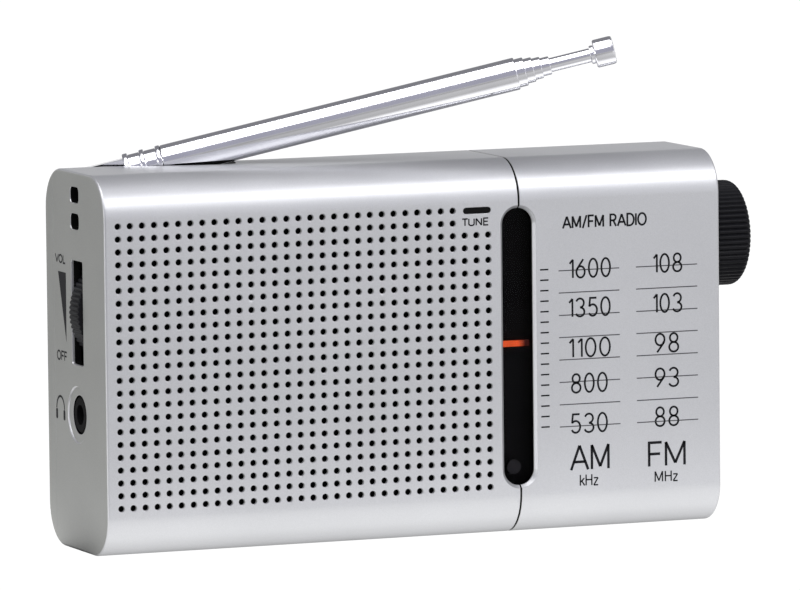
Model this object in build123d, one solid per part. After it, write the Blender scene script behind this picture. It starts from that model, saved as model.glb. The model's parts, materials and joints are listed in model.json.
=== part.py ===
from build123d import *
from math import asin, atan2, cos, pi, sin, sqrt, tan
import os

# Transistor pocket radio, millimetres.
# X runs along the front from left to right, Y from the front to the back and Z up.
# The origin is the centre of the case's bottom face.

GAP = 0.05
PAST = 1.0

# ---- case --------------------------------------------------------------------------
CASE_WIDTH = 119.7
CASE_DEPTH = 31.0
CASE_HEIGHT = 68.5
CASE_CORNER = 7.6
END_EDGE = 0.5
WALL = 1.8
LEFT = -CASE_WIDTH / 2
RIGHT = CASE_WIDTH / 2
FRONT = -CASE_DEPTH / 2
BACK = CASE_DEPTH / 2
INNER_LEFT = LEFT + WALL
INNER_RIGHT = RIGHT - WALL
INNER_FRONT = FRONT + WALL
INNER_BACK = BACK - WALL
PARTING_Y = 11.2
SEAM_X = 20.15
SEAM_GROOVE = 0.4
SEAM_GROOVE_DEPTH = 0.5
LAP = 1.5
RIB = 1.2

# ---- grille ------------------------------------------------------------------------
HOLE_PITCH = 2.3
HOLE_RADIUS = 0.55
HOLE_COLUMNS = 32
HOLE_ROWS = 23
FIRST_HOLE_X = -57.18
FIRST_HOLE_Z = 59.76
SKIPPED_COLUMNS = 3
SKIPPED_ROWS = 2

# ---- front openings ----------------------------------------------------------------
SLIT_X = 11.95
SLIT_Z = 59.65
SLIT_LENGTH = 5.4
SLIT_HEIGHT = 1.15
WINDOW_X = 20.0
WINDOW_LOW = 8.8
WINDOW_HIGH = 60.1
WINDOW_WIDTH = 6.6
WINDOW_Z = (WINDOW_LOW + WINDOW_HIGH) / 2
WINDOW_LENGTH = WINDOW_HIGH - WINDOW_LOW
WINDOW_BEVEL = 0.45
LENS_DEPTH = 0.9
LENS_FLANGE = 1.3
LENS_FLANGE_THICKNESS = 0.8

# ---- left end face -----------------------------------------------------------------
STRAP_HOLE_WIDTH = 4.5
STRAP_HOLE_HEIGHT = 2.85
STRAP_HOLE_Y = 0.0
STRAP_HOLES_Z = (59.55, 64.35)
STRAP_POCKET_Y = (-2.4, 2.4)
STRAP_POCKET_Z = (57.9, 65.8)
STRAP_POCKET_DEPTH = 3.5
POCKET_WALL = 1.0
VOLUME_SLOT_Y = -0.85
VOLUME_SLOT_WIDTH = 6.0
VOLUME_SLOT_HEIGHT = 18.8
JACK_Y = -0.3
JACK_Z = 24.65
JACK_HOLE_RADIUS = 3.55
JACK_DISH_RADIUS = 5.25
JACK_DISH_FOOT = 3.75
JACK_DISH_DEPTH = 0.4
JACK_NOSE_RADIUS = 3.45
JACK_NOSE_SETBACK = 0.55
JACK_BODY_RIGHT = -44.6
JACK_BODY_HALF = 3.0
JACK_BORE_RADIUS = 1.83
JACK_BORE_END = -45.2

# ---- volume control ----------------------------------------------------------------
VOLUME_Z = 43.1
VOLUME_RADIUS = 10.45
VOLUME_PROUD = 0.75
VOLUME_X = LEFT - VOLUME_PROUD + VOLUME_RADIUS
VOLUME_FRONT = -3.3
VOLUME_BACK = 1.6
VOLUME_RIBS = 72
VOLUME_RIM = 2.4
VOLUME_DISH = 1.6
VOLUME_HUB_RADIUS = 3.2
VOLUME_BORE = 1.5
POT_RADIUS = 7.7
POT_FRONT = 2.6
POT_BACK = 7.0

# ---- tuning drive ------------------------------------------------------------------
TUNING_Z = 51.9
KNOB_RADIUS = 9.7
KNOB_INNER_X = 60.35
KNOB_OUTER_X = 69.15
KNOB_EDGE = 1.2
KNOB_RIBS = 60
KNOB_RECESS_RADIUS = 3.3
KNOB_RECESS_DEPTH = 3.85
KNOB_HUB_RADIUS = 4.6
KNOB_SKIRT = 1.6
KNOB_WEB_X = KNOB_OUTER_X - 5.05
KNOB_HOLE_RADIUS = 5.2
SHAFT_RADIUS = 3.0
SHAFT_FIT = 0.02
SCREW_BORE = 1.3
CORD_X = 54.5
CORD_RADIUS = 0.3
DRUM_PITCH_RADIUS = 9.15
DRUM_FLANGE_RADIUS = 9.9
DRUM_HALF_WIDTH = 1.4
DRUM_TRACK_HALF_WIDTH = 0.7
DRUM_HOLE_RADIUS = 1.5
DRUM_HOLE_CIRCLE = 5.6
DRUM_HUB_RADIUS = 4.4
DRUM_HUB_END = 56.9
PULLEY_PITCH_RADIUS = 2.5
PULLEY_HALF_WIDTH = 1.1
PULLEY_Z = 7.0
PULLEY_Y = PULLEY_PITCH_RADIUS - DRUM_PITCH_RADIUS
PULLEY_PIN_RADIUS = 0.78
CAPACITOR_SIZE = 18.0
CAPACITOR_WALL = 1.2
CAPACITOR_LEFT = 37.0
CAPACITOR_RIGHT = 51.5
VANE = 0.3
ROTOR_VANES_X = (40.0, 42.0, 44.0, 46.0)
STATOR_VANES_X = (41.0, 43.0, 45.0)
ROTOR_RADIUS = 7.4
SPINDLE_RADIUS = 1.6
BRACKET_THICKNESS = 0.7
BRACKET_FOOT_LEFT = 31.0

# ---- pointer and dial --------------------------------------------------------------
RAIL_X = 50.0
RAIL_Y = -12.0
RAIL_RADIUS = 0.6
RAIL_LOW = 4.1
RAIL_HIGH = 64.5
POINTER_Z = 34.77
POINTER_HALF_HEIGHT = 0.53
POINTER_X = (17.0, 23.1)
POINTER_Y = (-12.7, -11.95)
ARM_Y = (-11.9, -11.2)
ARM_LEFT = 17.2
ARM_BELOW = 1.9
ARM_ABOVE = 0.3
SLIDER_HALF_HEIGHT = 4.0
GRIP_LOW = 7.0
GRIP_HIGH = 3.0
DIAL_PLATE_X = (13.5, 26.8)
DIAL_PLATE_Y = (-10.9, -10.1)
DIAL_PLATE_Z = (5.2, 63.4)
DIAL_BOSS_X = 20.1
DIAL_BOSS_Z = 12.2
DIAL_BOSS_RADIUS = 1.4
DIAL_BOSS_HEIGHT = 1.4
DIAL_STANDS_Z = (20.0, 57.5)
DIAL_STAND_THICKNESS = 1.5

# ---- telescopic antenna ------------------------------------------------------------
PIVOT = (-52.5, 12.2, 65.8)
ANTENNA_AZIMUTH = -20.5
ANTENNA_ELEVATION = 13.3
TUBE_CLEARANCE = 3.5
WELL_REACH = 30.0
WELL_TURN = 110.0
WELL_RADIUS = 4.4
WELL_FLOOR = 61.0
WELL_LINER = 1.2
WELL_RIGHT = -22.5
CHANNEL_END = 48.0
CHANNEL_FRONT = PIVOT[1] - TUBE_CLEARANCE + 0.2
CHANNEL_FLOOR = PIVOT[2] - TUBE_CLEARANCE
STEM_RADIUS = 1.2
STEM_LENGTH = 2.4
YOKE_FOOT_RADIUS = 3.1
YOKE_FOOT_THICKNESS = 0.8
EAR_GAP = 1.7
EAR_THICKNESS = 1.0
EAR_RADIUS = 2.2
PIN_RADIUS = 0.77
PIN_OVERHANG = 0.4
TONGUE_RADIUS = 2.3
FERRULE_START = 7.7
FERRULE_RADIUS = 2.75
RING_RADIUS = 3.1
RINGS = ((6.8, 1.0), (9.9, 0.9), (12.9, 0.9))
TUBE_START = 13.8
TUBE_END = 79.8
TUBE_RADIUS = 3.0
TUBE_BORE = 2.7
TUBE_BOTTOM = 0.6
# Each inner section as outer radius, inner radius and how far from the pivot its end shows.
SECTIONS = ((2.65, 2.35, 81.4), (2.3, 2.05, 82.9), (2.0, 1.75, 84.4), (1.7, 1.35, 86.0))
SECTION_STEP = 0.6
SECTION_BOTTOM = 0.4
ROD_RADIUS = 1.3
ROD_END = 93.4
NECK_RADIUS = 1.7
NECK_END = 94.2
TIP_RADIUS = 2.6
TIP_END = 97.9
TIP_EDGE = 0.3

# ---- speaker -----------------------------------------------------------------------
SPEAKER_X = -21.5
SPEAKER_Z = 34.5
SPEAKER_SCREW_CIRCLE = 30.6
SPEAKER_POST_END = -11.4
SPEAKER_POST_RADIUS = 1.7
GASKET = ((25.6, -13.35), (28.5, -13.35), (28.5, -12.55), (25.6, -12.55))
BASKET = ((25.5, -12.5), (28.5, -12.5), (28.5, -11.45), (26.8, -11.45), (18.5, -3.75),
          (7.3, -3.75), (7.3, -4.5), (17.9, -4.5), (25.5, -11.4))
BASKET_WINDOW = (12, 30, -10.4, -4.8, -6, 6)
BASKET_WINDOWS = 4
CONE = ((25.2, -12.15), (23.6, -12.6), (22.0, -12.1), (7.2, -7.2), (7.2, -2.9), (6.75, -2.9),
        (6.75, -7.6), (22.0, -12.5), (23.6, -12.95), (25.2, -12.5))
DUST_CAP_HEIGHT = 2.2
DUST_CAP_RADIUS = 7.0
DUST_CAP_THICKNESS = 0.3
DUST_CAP_BACK = -7.65
MAGNET = ((8.5, -2.15), (15.0, -2.15), (15.0, 1.3), (8.5, 1.3))
TOP_PLATE = ((7.6, -3.7), (15.0, -3.7), (15.0, -2.2), (7.6, -2.2))
YOKE_PLATE = ((0, -3.6), (6.3, -3.6), (6.3, 1.35), (14.0, 1.35), (14.0, 2.9), (0, 2.9))
BEHIND_CONE = ((0, -11.5), (26.9, -11.5), (18.55, -3.75), (0, -3.75))
TERMINAL_STRIP = (22.0, 28.0)
TERMINAL_Y = (-9.4, -8.6)
TERMINAL_HALF_HEIGHT = 4.0
LEAD_RADIUS = 0.35
CLOTH_X = (-58.0, 15.4)
CLOTH_Z = (8.0, 60.85)
CLOTH_THICKNESS = 0.3
LAMP_NOTCH_X = (8.0, 16.0)
LAMP_NOTCH_LOW = 58.2

# ---- circuit board -----------------------------------------------------------------
BOARD_FRONT = -4.6
BOARD_BACK = -3.0
BOARD_X = (-57.6, 52.0)
BOARD_Z = (3.2, 65.2)
SPEAKER_CUTOUT = 20.5
WHEEL_NOTCH_RIGHT = -38.4
WHEEL_NOTCH_Z = (31.2, 55.0)
POCKET_NOTCH_RIGHT = -53.0
POCKET_NOTCH_LOW = 50.0
CAPACITOR_NOTCH_LEFT = 36.2
CAPACITOR_NOTCH_LOW = 40.9
CHIP_X = (31.0, 49.0)
CHIP_Y = (-7.4, -5.0)
CHIP_Z = (20.5, 28.0)
CHIP_LEGS = 9
CHIP_LEG_PITCH = 2.0
CHIP_LEG_WIDTH = 0.5
CANS_X = (28.5, 35.5, 42.5)
CAN_Z = 13.5
CAN_RADIUS = 2.5
CAN_TOP = -10.0
FILTERS_X = (32.0, 41.0)
FILTER_HALF_WIDTH = 3.4
FILTER_Z = (34.2, 36.8)
FILTER_TOP = -9.6
RESISTORS = 6
RESISTOR_X = -2.0
RESISTOR_PITCH = 2.6
RESISTOR_Y = -6.2
RESISTOR_Z = 53.5
RESISTOR_HALF_LENGTH = 2.5
RESISTOR_WIRE_HALF_LENGTH = 4.0
RESISTOR_FOOT_OFFSET = 3.65
RESISTOR_RADIUS = 0.85
RESISTOR_WIRE_RADIUS = 0.28
RESISTOR_FOOT_RADIUS = 0.22
COILS_X = (12.0, 21.0, 30.0)
COIL_Z = 38.2
COIL_HALF = 3.6
COIL_BACK = 8.0
COIL_HOLE_RADIUS = 1.9
COIL_CORE_RADIUS = 1.6
FERRITE_Y = 3.8
FERRITE_Z = 55.6
FERRITE_RADIUS = 3.8
FERRITE_X = (-19.0, 25.5)
FERRITE_COIL_X = (-13.0, 3.0)
FERRITE_COIL_RADIUS = 4.4
FERRITE_TURNS = 15
HOLDERS_X = (-17.0, 23.8)
LAMP_RADIUS = 1.5
LAMP_TIP = -8.8

# ---- band switch -------------------------------------------------------------------
BAND_X = 12.0
BAND_Z = 48.0
BAND_TRAVEL = 4.0
BAND_LEVER_HALF = (1.1, 1.0)
BAND_CAP_Y = 12.1
BAND_THUMB_HALF = (3.1, 1.5)
BAND_RIBS = 5
BAND_RIB_PITCH = 1.2

# ---- battery -----------------------------------------------------------------------
CELL_RADIUS = 7.25
CELL_LENGTH = 50.5
CELL_NUB = 1.0
CELL_NUB_RADIUS = 2.6
CELL_Y = 6.3
CELLS_Z = (9.75, 24.45)
BAY_LEFT = -1.6
BAY_RIGHT = 52.6
BAY_FRONT = -1.2
BAY_LOW = 2.4
BAY_HIGH = 31.8
DOOR_LEFT = -3.2
DOOR_LOW = 3.2
DOOR_HIGH = 33.4
DOOR_FRONT = 12.3
DOOR_PLAY = 0.1
DOOR_HIGH_TONGUE_Y = (14.2, 14.8)
DOOR_LOW_TONGUE_Y = (12.0, 12.6)
DOOR_GROOVES = 6
DOOR_GROOVE_PITCH = 2.0
DOOR_GROOVE_Z = (13.0, 23.0)
CONTACT_THICKNESS = 0.4
CONTACT_HALF = (5.5, 6.0)
SPRING_RADIUS = 4.5
SPRING_WIRE_RADIUS = 0.3
SPRING_TURNS = 2.5
SPRING_TAPER = 30.0

# ---- screws ------------------------------------------------------------------------
PILOT_RADIUS = 1.05
SMALL_PILOT_RADIUS = 0.85
CASE_POST_RADIUS = 2.2
BOARD_POST_RADIUS = 2.0
SLEEVE_RADIUS = 3.0
SCREW_WELL_RADIUS = 2.3
SCREW_SEAT_Y = 12.3
CROSS_WIDTH = 0.5
# Case screws as X, Z and the depth at which each post starts.
CASE_SCREWS = ((-54.5, 5.5, INNER_FRONT), (-55.2, 55.5, 3.0), (-7.0, 5.5, INNER_FRONT),
               (30.0, 57.0, INNER_FRONT), (55.4, 64.4, INNER_FRONT))
BOARD_SCREWS = ((-47.0, 6.3), (-45.5, 62.3), (3.0, 62.3), (5.0, 6.3), (32.0, 6.3), (33.5, 62.3))


# ---- helpers -----------------------------------------------------------------------
def block(x_low, x_high, y_low, y_high, z_low, z_high):
    """A box between two corners."""
    centre = Pos((x_low + x_high) / 2, (y_low + y_high) / 2, (z_low + z_high) / 2)
    return centre * Box(x_high - x_low, y_high - y_low, z_high - z_low)


def rod_x(x_low, x_high, y, z, radius):
    """A cylinder along X."""
    return Pos((x_low + x_high) / 2, y, z) * Rot(0, 90, 0) * Cylinder(radius, x_high - x_low)


def rod_y(x, y_low, y_high, z, radius):
    """A cylinder along Y."""
    return Pos(x, (y_low + y_high) / 2, z) * Rot(90, 0, 0) * Cylinder(radius, y_high - y_low)


def rod_z(x, y, z_low, z_high, radius):
    """A cylinder along Z."""
    return Pos(x, y, (z_low + z_high) / 2) * Cylinder(radius, z_high - z_low)


def case_block(x_low, x_high, inset=0.0):
    """The case's rounded section, drawn in by inset all round, between two X planes."""
    section = Plane((x_low, 0, CASE_HEIGHT / 2), x_dir=(0, 1, 0), z_dir=(1, 0, 0))
    outline = RectangleRounded(CASE_DEPTH - 2 * inset, CASE_HEIGHT - 2 * inset, CASE_CORNER - inset)
    return extrude(section * outline, x_high - x_low)


def whole_case():
    """The outside of the closed case, with its two end faces' edges rounded."""
    body = case_block(LEFT, RIGHT)
    ends = body.edges().group_by(Axis.X)
    return fillet(ends[0] + ends[-1], END_EDGE)


def front_slot(x, z, width, height, y_low, y_high):
    """A round-ended upright or level bar that faces the front."""
    plane = Plane((x, y_low, z), x_dir=(1, 0, 0), z_dir=(0, 1, 0))
    turn = 90 if height > width else 0
    outline = SlotOverall(max(width, height), min(width, height))
    return extrude(plane * Rot(0, 0, turn) * outline, y_high - y_low)


def antenna_frame(distance=0.0):
    """A location on the antenna's line with its Z axis along the tube and its X axis level."""
    turn = Pos(*PIVOT) * Rot(0, 0, ANTENNA_AZIMUTH) * Rot(0, 90 - ANTENNA_ELEVATION, 0)
    return turn * Pos(0, 0, distance)


def on_antenna(start, end, radius):
    """A cylinder on the antenna's line between two distances from the pivot."""
    return antenna_frame((start + end) / 2) * Cylinder(radius, end - start)


def save(shape, node):
    """Write one node's solids."""
    solids = shape.solids()
    whole = solids[0] if len(solids) == 1 else Compound(children=list(solids))
    export_step(whole, "parts/" + node + ".step")
    print(node, len(solids), round(sum(solid.volume for solid in solids), 1))


# ---- case shells -------------------------------------------------------------------
def well_space():
    """The room that the antenna's base and tube need in the case's rear top left corner."""
    x, y, z = PIVOT
    above = z + 9
    slope = ANTENNA_ELEVATION * pi / 180
    start = z - TUBE_CLEARANCE / cos(slope)
    profile = Polyline((0, start), (WELL_REACH, start + WELL_REACH * tan(slope)), (WELL_REACH, above),
                       (0, above), close=True)
    sector = revolve(Plane.XZ * make_face(profile), Axis.Z, WELL_TURN)
    facing = Rot(0, 0, ANTENNA_AZIMUTH)
    tube_room = on_antenna(-1, WELL_REACH, TUBE_CLEARANCE)
    rising_room = Pos(x, y, z + 4) * facing * Pos(3.5, 0, 0) * Box(15, 2 * TUBE_CLEARANCE, 8)
    pivot_room = rod_z(x, y, WELL_FLOOR, above, WELL_RADIUS)
    return Pos(x, y, 0) * facing * sector + tube_room + rising_room + pivot_room


def stow_channel():
    """The groove along the rear top edge where the folded antenna lies."""
    return block(PIVOT[0], CHANNEL_END, CHANNEL_FRONT, BACK + 2, CHANNEL_FLOOR, CASE_HEIGHT + 4)


def grille_holes():
    """The round sound holes, all but the corner that the tuning lamp and its word take."""
    holes = []
    for column in range(HOLE_COLUMNS):
        for row in range(HOLE_ROWS):
            if column >= HOLE_COLUMNS - SKIPPED_COLUMNS and row < SKIPPED_ROWS:
                continue
            x = FIRST_HOLE_X + column * HOLE_PITCH
            z = FIRST_HOLE_Z - row * HOLE_PITCH
            holes.append(rod_y(x, FRONT - PAST, INNER_FRONT + PAST, z, HOLE_RADIUS))
    return holes


def window_opening():
    """The dial window's opening with its bevelled front edge."""
    opening = front_slot(WINDOW_X, WINDOW_Z, WINDOW_WIDTH, WINDOW_LENGTH, FRONT - PAST,
                         INNER_FRONT + PAST)
    grow = 2 * WINDOW_BEVEL
    bevel = front_slot(WINDOW_X, WINDOW_Z, WINDOW_WIDTH + grow, WINDOW_LENGTH + grow, FRONT - PAST,
                       FRONT + WINDOW_BEVEL)
    inner_edges = bevel.faces().sort_by(Axis.Y)[-1].edges()
    return opening + chamfer(inner_edges, WINDOW_BEVEL - GAP)


def seam_groove():
    """The shallow groove that runs round the case where the two front shells meet."""
    x_low = SEAM_X - SEAM_GROOVE / 2
    x_high = SEAM_X + SEAM_GROOVE / 2
    return case_block(x_low, x_high, -PAST) - case_block(x_low - 1, x_high + 1, SEAM_GROOVE_DEPTH)


def between(x_low, x_high):
    """All the room between two X planes."""
    return block(x_low, x_high, FRONT - 20, BACK + 20, -5, CASE_HEIGHT + 5)


def front_part(shape):
    """What lies in front of the parting line."""
    return shape - block(LEFT - 20, RIGHT + 20, PARTING_Y, BACK + 20, -5, CASE_HEIGHT + 5)


def rear_part(shape):
    """What lies behind the parting line."""
    return shape - block(LEFT - 20, RIGHT + 20, FRONT - 20, PARTING_Y + GAP, -5, CASE_HEIGHT + 5)


def case_bosses(x_low, x_high):
    """Screw posts of the front shells between two X planes, with their pilot holes."""
    posts = []
    pilots = []
    inside = case_block(x_low, x_high, WALL / 2)
    for x, z, start in CASE_SCREWS:
        if x_low < x < x_high:
            posts.append(rod_y(x, start - 0.5, PARTING_Y, z, CASE_POST_RADIUS) & inside)
            pilots.append(rod_y(x, max(start + 0.6, 1.0), PARTING_Y + PAST, z, PILOT_RADIUS))
    for x, z in BOARD_SCREWS:
        if x_low < x < x_high:
            posts.append(rod_y(x, INNER_FRONT - 0.5, BOARD_FRONT, z, BOARD_POST_RADIUS) & inside)
            pilots.append(rod_y(x, BOARD_FRONT - 5, BOARD_FRONT + PAST, z, SMALL_PILOT_RADIUS))
    return posts, pilots


def end_face_openings():
    """The strap holes, the volume slot and the dished earphone hole of the left end face."""
    half_width = STRAP_HOLE_WIDTH / 2
    half_height = STRAP_HOLE_HEIGHT / 2
    openings = [block(LEFT - PAST, INNER_LEFT + GAP, STRAP_HOLE_Y - half_width, STRAP_HOLE_Y + half_width,
                      z - half_height, z + half_height) for z in STRAP_HOLES_Z]
    half_width = VOLUME_SLOT_WIDTH / 2
    half_height = VOLUME_SLOT_HEIGHT / 2
    slot_y = (VOLUME_SLOT_Y - half_width, VOLUME_SLOT_Y + half_width)
    slot_z = (VOLUME_Z - half_height, VOLUME_Z + half_height)
    openings.append(block(LEFT - PAST, INNER_LEFT + PAST, *slot_y, *slot_z))
    openings.append(rod_x(LEFT - PAST, INNER_LEFT + PAST, JACK_Y, JACK_Z, JACK_HOLE_RADIUS))
    dish_place = Pos(LEFT + JACK_DISH_DEPTH / 2, JACK_Y, JACK_Z) * Rot(0, 90, 0)
    openings.append(dish_place * Cone(JACK_DISH_RADIUS, JACK_DISH_FOOT, JACK_DISH_DEPTH))
    return openings


def speaker_housing():
    """Left front shell: grille, end face with strap holes, volume slot and jack hole."""
    shell = (whole_case() & between(LEFT - PAST, SEAM_X)) - case_block(INNER_LEFT, SEAM_X + PAST, WALL)
    rebate = (case_block(SEAM_X - LAP, SEAM_X + PAST, WALL / 2)
              - case_block(SEAM_X - LAP - PAST, SEAM_X + 2 * PAST, WALL))
    shell = front_part(shell - rebate - seam_groove())
    posts, pilots = case_bosses(LEFT, SEAM_X)
    for x, z in speaker_screw_places():
        posts.append(rod_y(x, INNER_FRONT - 0.5, SPEAKER_POST_END, z, SPEAKER_POST_RADIUS))
        pilots.append(rod_y(x, INNER_FRONT + 0.3, SPEAKER_POST_END + 0.4, z, SMALL_PILOT_RADIUS))
    pocket_right = INNER_LEFT + STRAP_POCKET_DEPTH
    y_low, y_high = STRAP_POCKET_Y
    z_low, z_high = STRAP_POCKET_Z
    pocket = block(INNER_LEFT - 0.5, pocket_right + POCKET_WALL, y_low - POCKET_WALL, y_high + POCKET_WALL,
                   z_low - POCKET_WALL, CASE_HEIGHT - WALL + 0.5)
    post_x, post_z, post_start = CASE_SCREWS[1]
    web = block(INNER_LEFT - 0.5, post_x, post_start, PARTING_Y, post_z - 0.7, post_z + 0.7)
    shell = shell + posts + [pocket, web]
    pocket_room = block(INNER_LEFT - 0.01, pocket_right, y_low, y_high, z_low, z_high)
    slit = front_slot(SLIT_X, SLIT_Z, SLIT_LENGTH, SLIT_HEIGHT, FRONT - PAST, INNER_FRONT + PAST)
    cuts = [pocket_room, window_opening(), slit, well_space(), stow_channel()]
    return shell - cuts - end_face_openings() - pilots - grille_holes()


def dial_housing():
    """Right front shell: dial window's right side, rail brackets and the knob's hole."""
    shell = (whole_case() & between(SEAM_X, RIGHT + PAST)) - case_block(SEAM_X - PAST, INNER_RIGHT, WALL)
    tongue = case_block(SEAM_X - LAP + GAP, SEAM_X + PAST, WALL / 2 + GAP)
    tongue = tongue - case_block(SEAM_X - LAP - PAST, SEAM_X + 2 * PAST, WALL)
    shell = front_part(shell + tongue - seam_groove())
    posts, pilots = case_bosses(SEAM_X, RIGHT)
    inside = case_block(SEAM_X, RIGHT, 0.5)
    for z_low, z_high in ((1.0, 6.0), (62.6, CASE_HEIGHT - 1)):
        posts.append(block(RAIL_X - 2, RAIL_X + 2, INNER_FRONT - 0.5, RAIL_Y + 1.8, z_low, z_high) & inside)
    posts.append(rod_x(CORD_X + 1.3, INNER_RIGHT + 0.5, PULLEY_Y, PULLEY_Z, 2.0))
    rail_bore = rod_z(RAIL_X, RAIL_Y, RAIL_LOW - 0.1, RAIL_HIGH + 0.1, RAIL_RADIUS + 0.03)
    pulley_bore = rod_x(CORD_X, INNER_RIGHT + 0.4, PULLEY_Y, PULLEY_Z, PULLEY_PIN_RADIUS + 0.02)
    knob_hole = rod_x(INNER_RIGHT - PAST, RIGHT + PAST, 0, TUNING_Z, KNOB_HOLE_RADIUS)
    cuts = [rail_bore, pulley_bore, knob_hole, window_opening(), stow_channel()] + pilots
    return shell + posts - cuts


def door_zone(margin):
    """The case's wall that the battery door takes, with a margin round it."""
    left = DOOR_LEFT - margin
    right = RIGHT + PAST
    zone = block(left, right, DOOR_FRONT - margin, BACK + PAST, DOOR_LOW - margin, DOOR_HIGH + margin)
    skin = case_block(left, right) - case_block(left - PAST, right + PAST, WALL + margin)
    y_low, y_high = DOOR_HIGH_TONGUE_Y
    tongue_high = block(left, right, y_low - margin, y_high + margin, DOOR_HIGH - 0.5,
                        DOOR_HIGH + 1.0 + margin)
    y_low, y_high = DOOR_LOW_TONGUE_Y
    tongue_low = block(left, right, y_low - margin, y_high + margin, DOOR_LOW - 0.8 - margin, DOOR_LOW + 0.5)
    return (zone & skin) + tongue_high + tongue_low


def rear_cover():
    """Rear shell: antenna well and channel, battery bay, screw wells and band slot."""
    outside = rear_part(whole_case())
    inside = case_block(INNER_LEFT + GAP, INNER_RIGHT - GAP, WALL + GAP)
    shell = outside - case_block(INNER_LEFT, INNER_RIGHT, WALL)
    liner_floor = WELL_FLOOR - WELL_LINER
    well = block(INNER_LEFT + GAP, WELL_RIGHT, 5.0, INNER_BACK + 0.5, liner_floor, CASE_HEIGHT)
    well = well + block(-46.0, WELL_RIGHT, 1.6, 5.5, liner_floor, CASE_HEIGHT)
    channel = block(WELL_RIGHT - 1.5, CHANNEL_END + WELL_LINER, CHANNEL_FRONT - 0.95, BACK,
                    CHANNEL_FLOOR - WELL_LINER, CASE_HEIGHT)
    tray = block(BAY_LEFT - RIB, BAY_RIGHT + 0.8, BAY_FRONT - POCKET_WALL, INNER_BACK + 0.5, WALL + GAP,
                 BAY_HIGH + RIB)
    lining = well + channel + tray
    sleeves = [rod_y(x, PARTING_Y + GAP, INNER_BACK + 0.5, z, SLEEVE_RADIUS) & outside
               for x, z, _ in CASE_SCREWS]
    cover = shell + (lining & inside) + (lining & outside) + sleeves
    bay = block(BAY_LEFT, BAY_RIGHT, BAY_FRONT, INNER_BACK, BAY_LOW, BAY_HIGH)
    bay_mouth = block(BAY_LEFT, BAY_RIGHT, INNER_BACK - 5, BACK, DOOR_LOW + 0.2, DOOR_HIGH - 1.6)
    screw_holes = [rod_y(x, PARTING_Y - PAST, BACK, z, PILOT_RADIUS + 0.15) for x, z, _ in CASE_SCREWS]
    screw_wells = [rod_y(x, SCREW_SEAT_Y, BACK + PAST, z, SCREW_WELL_RADIUS) for x, z, _ in CASE_SCREWS]
    half_length, half_height = BAND_THUMB_HALF
    band_slot = block(BAND_X - half_length - 0.2, BAND_X + half_length + 0.2 + BAND_TRAVEL, INNER_BACK - PAST,
                      BACK + PAST, BAND_Z - half_height - 0.1, BAND_Z + half_height + 0.1)
    stem_hole = rod_z(PIVOT[0], PIVOT[1], WELL_FLOOR - 5, WELL_FLOOR + PAST, STEM_RADIUS + GAP)
    cuts = [well_space(), stow_channel(), bay, bay_mouth, door_zone(DOOR_PLAY), band_slot, stem_hole]
    return cover - cuts - screw_holes - screw_wells


def battery_door():
    """The sliding door, with a field of grip grooves near its left edge."""
    door = door_zone(0) & whole_case()
    z_low, z_high = DOOR_GROOVE_Z
    grooves = []
    for step in range(DOOR_GROOVES):
        x = DOOR_LEFT + 6 + DOOR_GROOVE_PITCH * step
        grooves.append(block(x - 0.4, x + 0.4, BACK - 0.5, BACK + PAST, z_low, z_high))
    return door - grooves


def speaker_screw_places():
    """The four speaker screws, on the diagonals."""
    step = SPEAKER_SCREW_CIRCLE * sqrt(0.5)
    return [(SPEAKER_X + side * step, SPEAKER_Z + rise * step) for side in (-1, 1) for rise in (-1, 1)]


# ---- screws ------------------------------------------------------------------------
def screw_y(x, z, tip_y, seat_y, shank_radius, head_radius, head_height):
    """A cross-headed screw driven from behind: shank, domed head and its cross recess."""
    shank = rod_y(x, tip_y, seat_y + 0.1, z, shank_radius)
    head = rod_y(x, seat_y, seat_y + head_height, z, head_radius)
    rim = head.edges().group_by(Axis.Y)[-1]
    head = fillet(rim, head_height * 0.45)
    recess_floor = seat_y + head_height * 0.5
    reach = head_radius * 0.55
    half = CROSS_WIDTH / 2
    cross = [block(x - reach, x + reach, recess_floor, seat_y + 3, z - half, z + half),
             block(x - half, x + half, recess_floor, seat_y + 3, z - reach, z + reach)]
    return shank + head - cross


def case_screws():
    """The screws that hold the rear cover, each in its own well."""
    screws = []
    for x, z, start in CASE_SCREWS:
        tip = max(start + 1.0, 1.4)
        screws.append(screw_y(x, z, tip, SCREW_SEAT_Y, PILOT_RADIUS - GAP, SCREW_WELL_RADIUS - 0.2, 1.5))
    return Compound(children=screws)


def inner_screws():
    """The screws that hold the circuit board, and the four that clamp the speaker's rim."""
    shank = SMALL_PILOT_RADIUS - GAP
    screws = [screw_y(x, z, BOARD_FRONT - 4.4, BOARD_BACK, shank, 1.7, 0.7) for x, z in BOARD_SCREWS]
    screws += [screw_y(x, z, INNER_FRONT + 0.5, SPEAKER_POST_END, shank, 2.8, 1.0)
               for x, z in speaker_screw_places()]
    return Compound(children=screws)


# ---- speaker -----------------------------------------------------------------------
def speaker_ring(profile):
    """A ring about the speaker's axis from (radius, Y) corner points."""
    plane = Plane((SPEAKER_X, 0, SPEAKER_Z), x_dir=(1, 0, 0), z_dir=(0, 0, 1))
    outline = make_face(Polyline(*profile, close=True))
    return revolve(plane * outline, Axis((SPEAKER_X, 0, SPEAKER_Z), (0, 1, 0)))


def grille_cloth():
    """The thin dark cloth glued behind the sound holes, pierced for the posts."""
    cloth = block(*CLOTH_X, INNER_FRONT, INNER_FRONT + CLOTH_THICKNESS, *CLOTH_Z)
    places = list(speaker_screw_places()) + list(BOARD_SCREWS)
    posts = [rod_y(x, INNER_FRONT - PAST, INNER_FRONT + PAST, z, BOARD_POST_RADIUS + 0.1) for x, z in places]
    lamp_room = block(*LAMP_NOTCH_X, INNER_FRONT - PAST, INNER_FRONT + PAST, LAMP_NOTCH_LOW,
                      CLOTH_Z[1] + PAST)
    return cloth - posts - lamp_room


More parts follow.
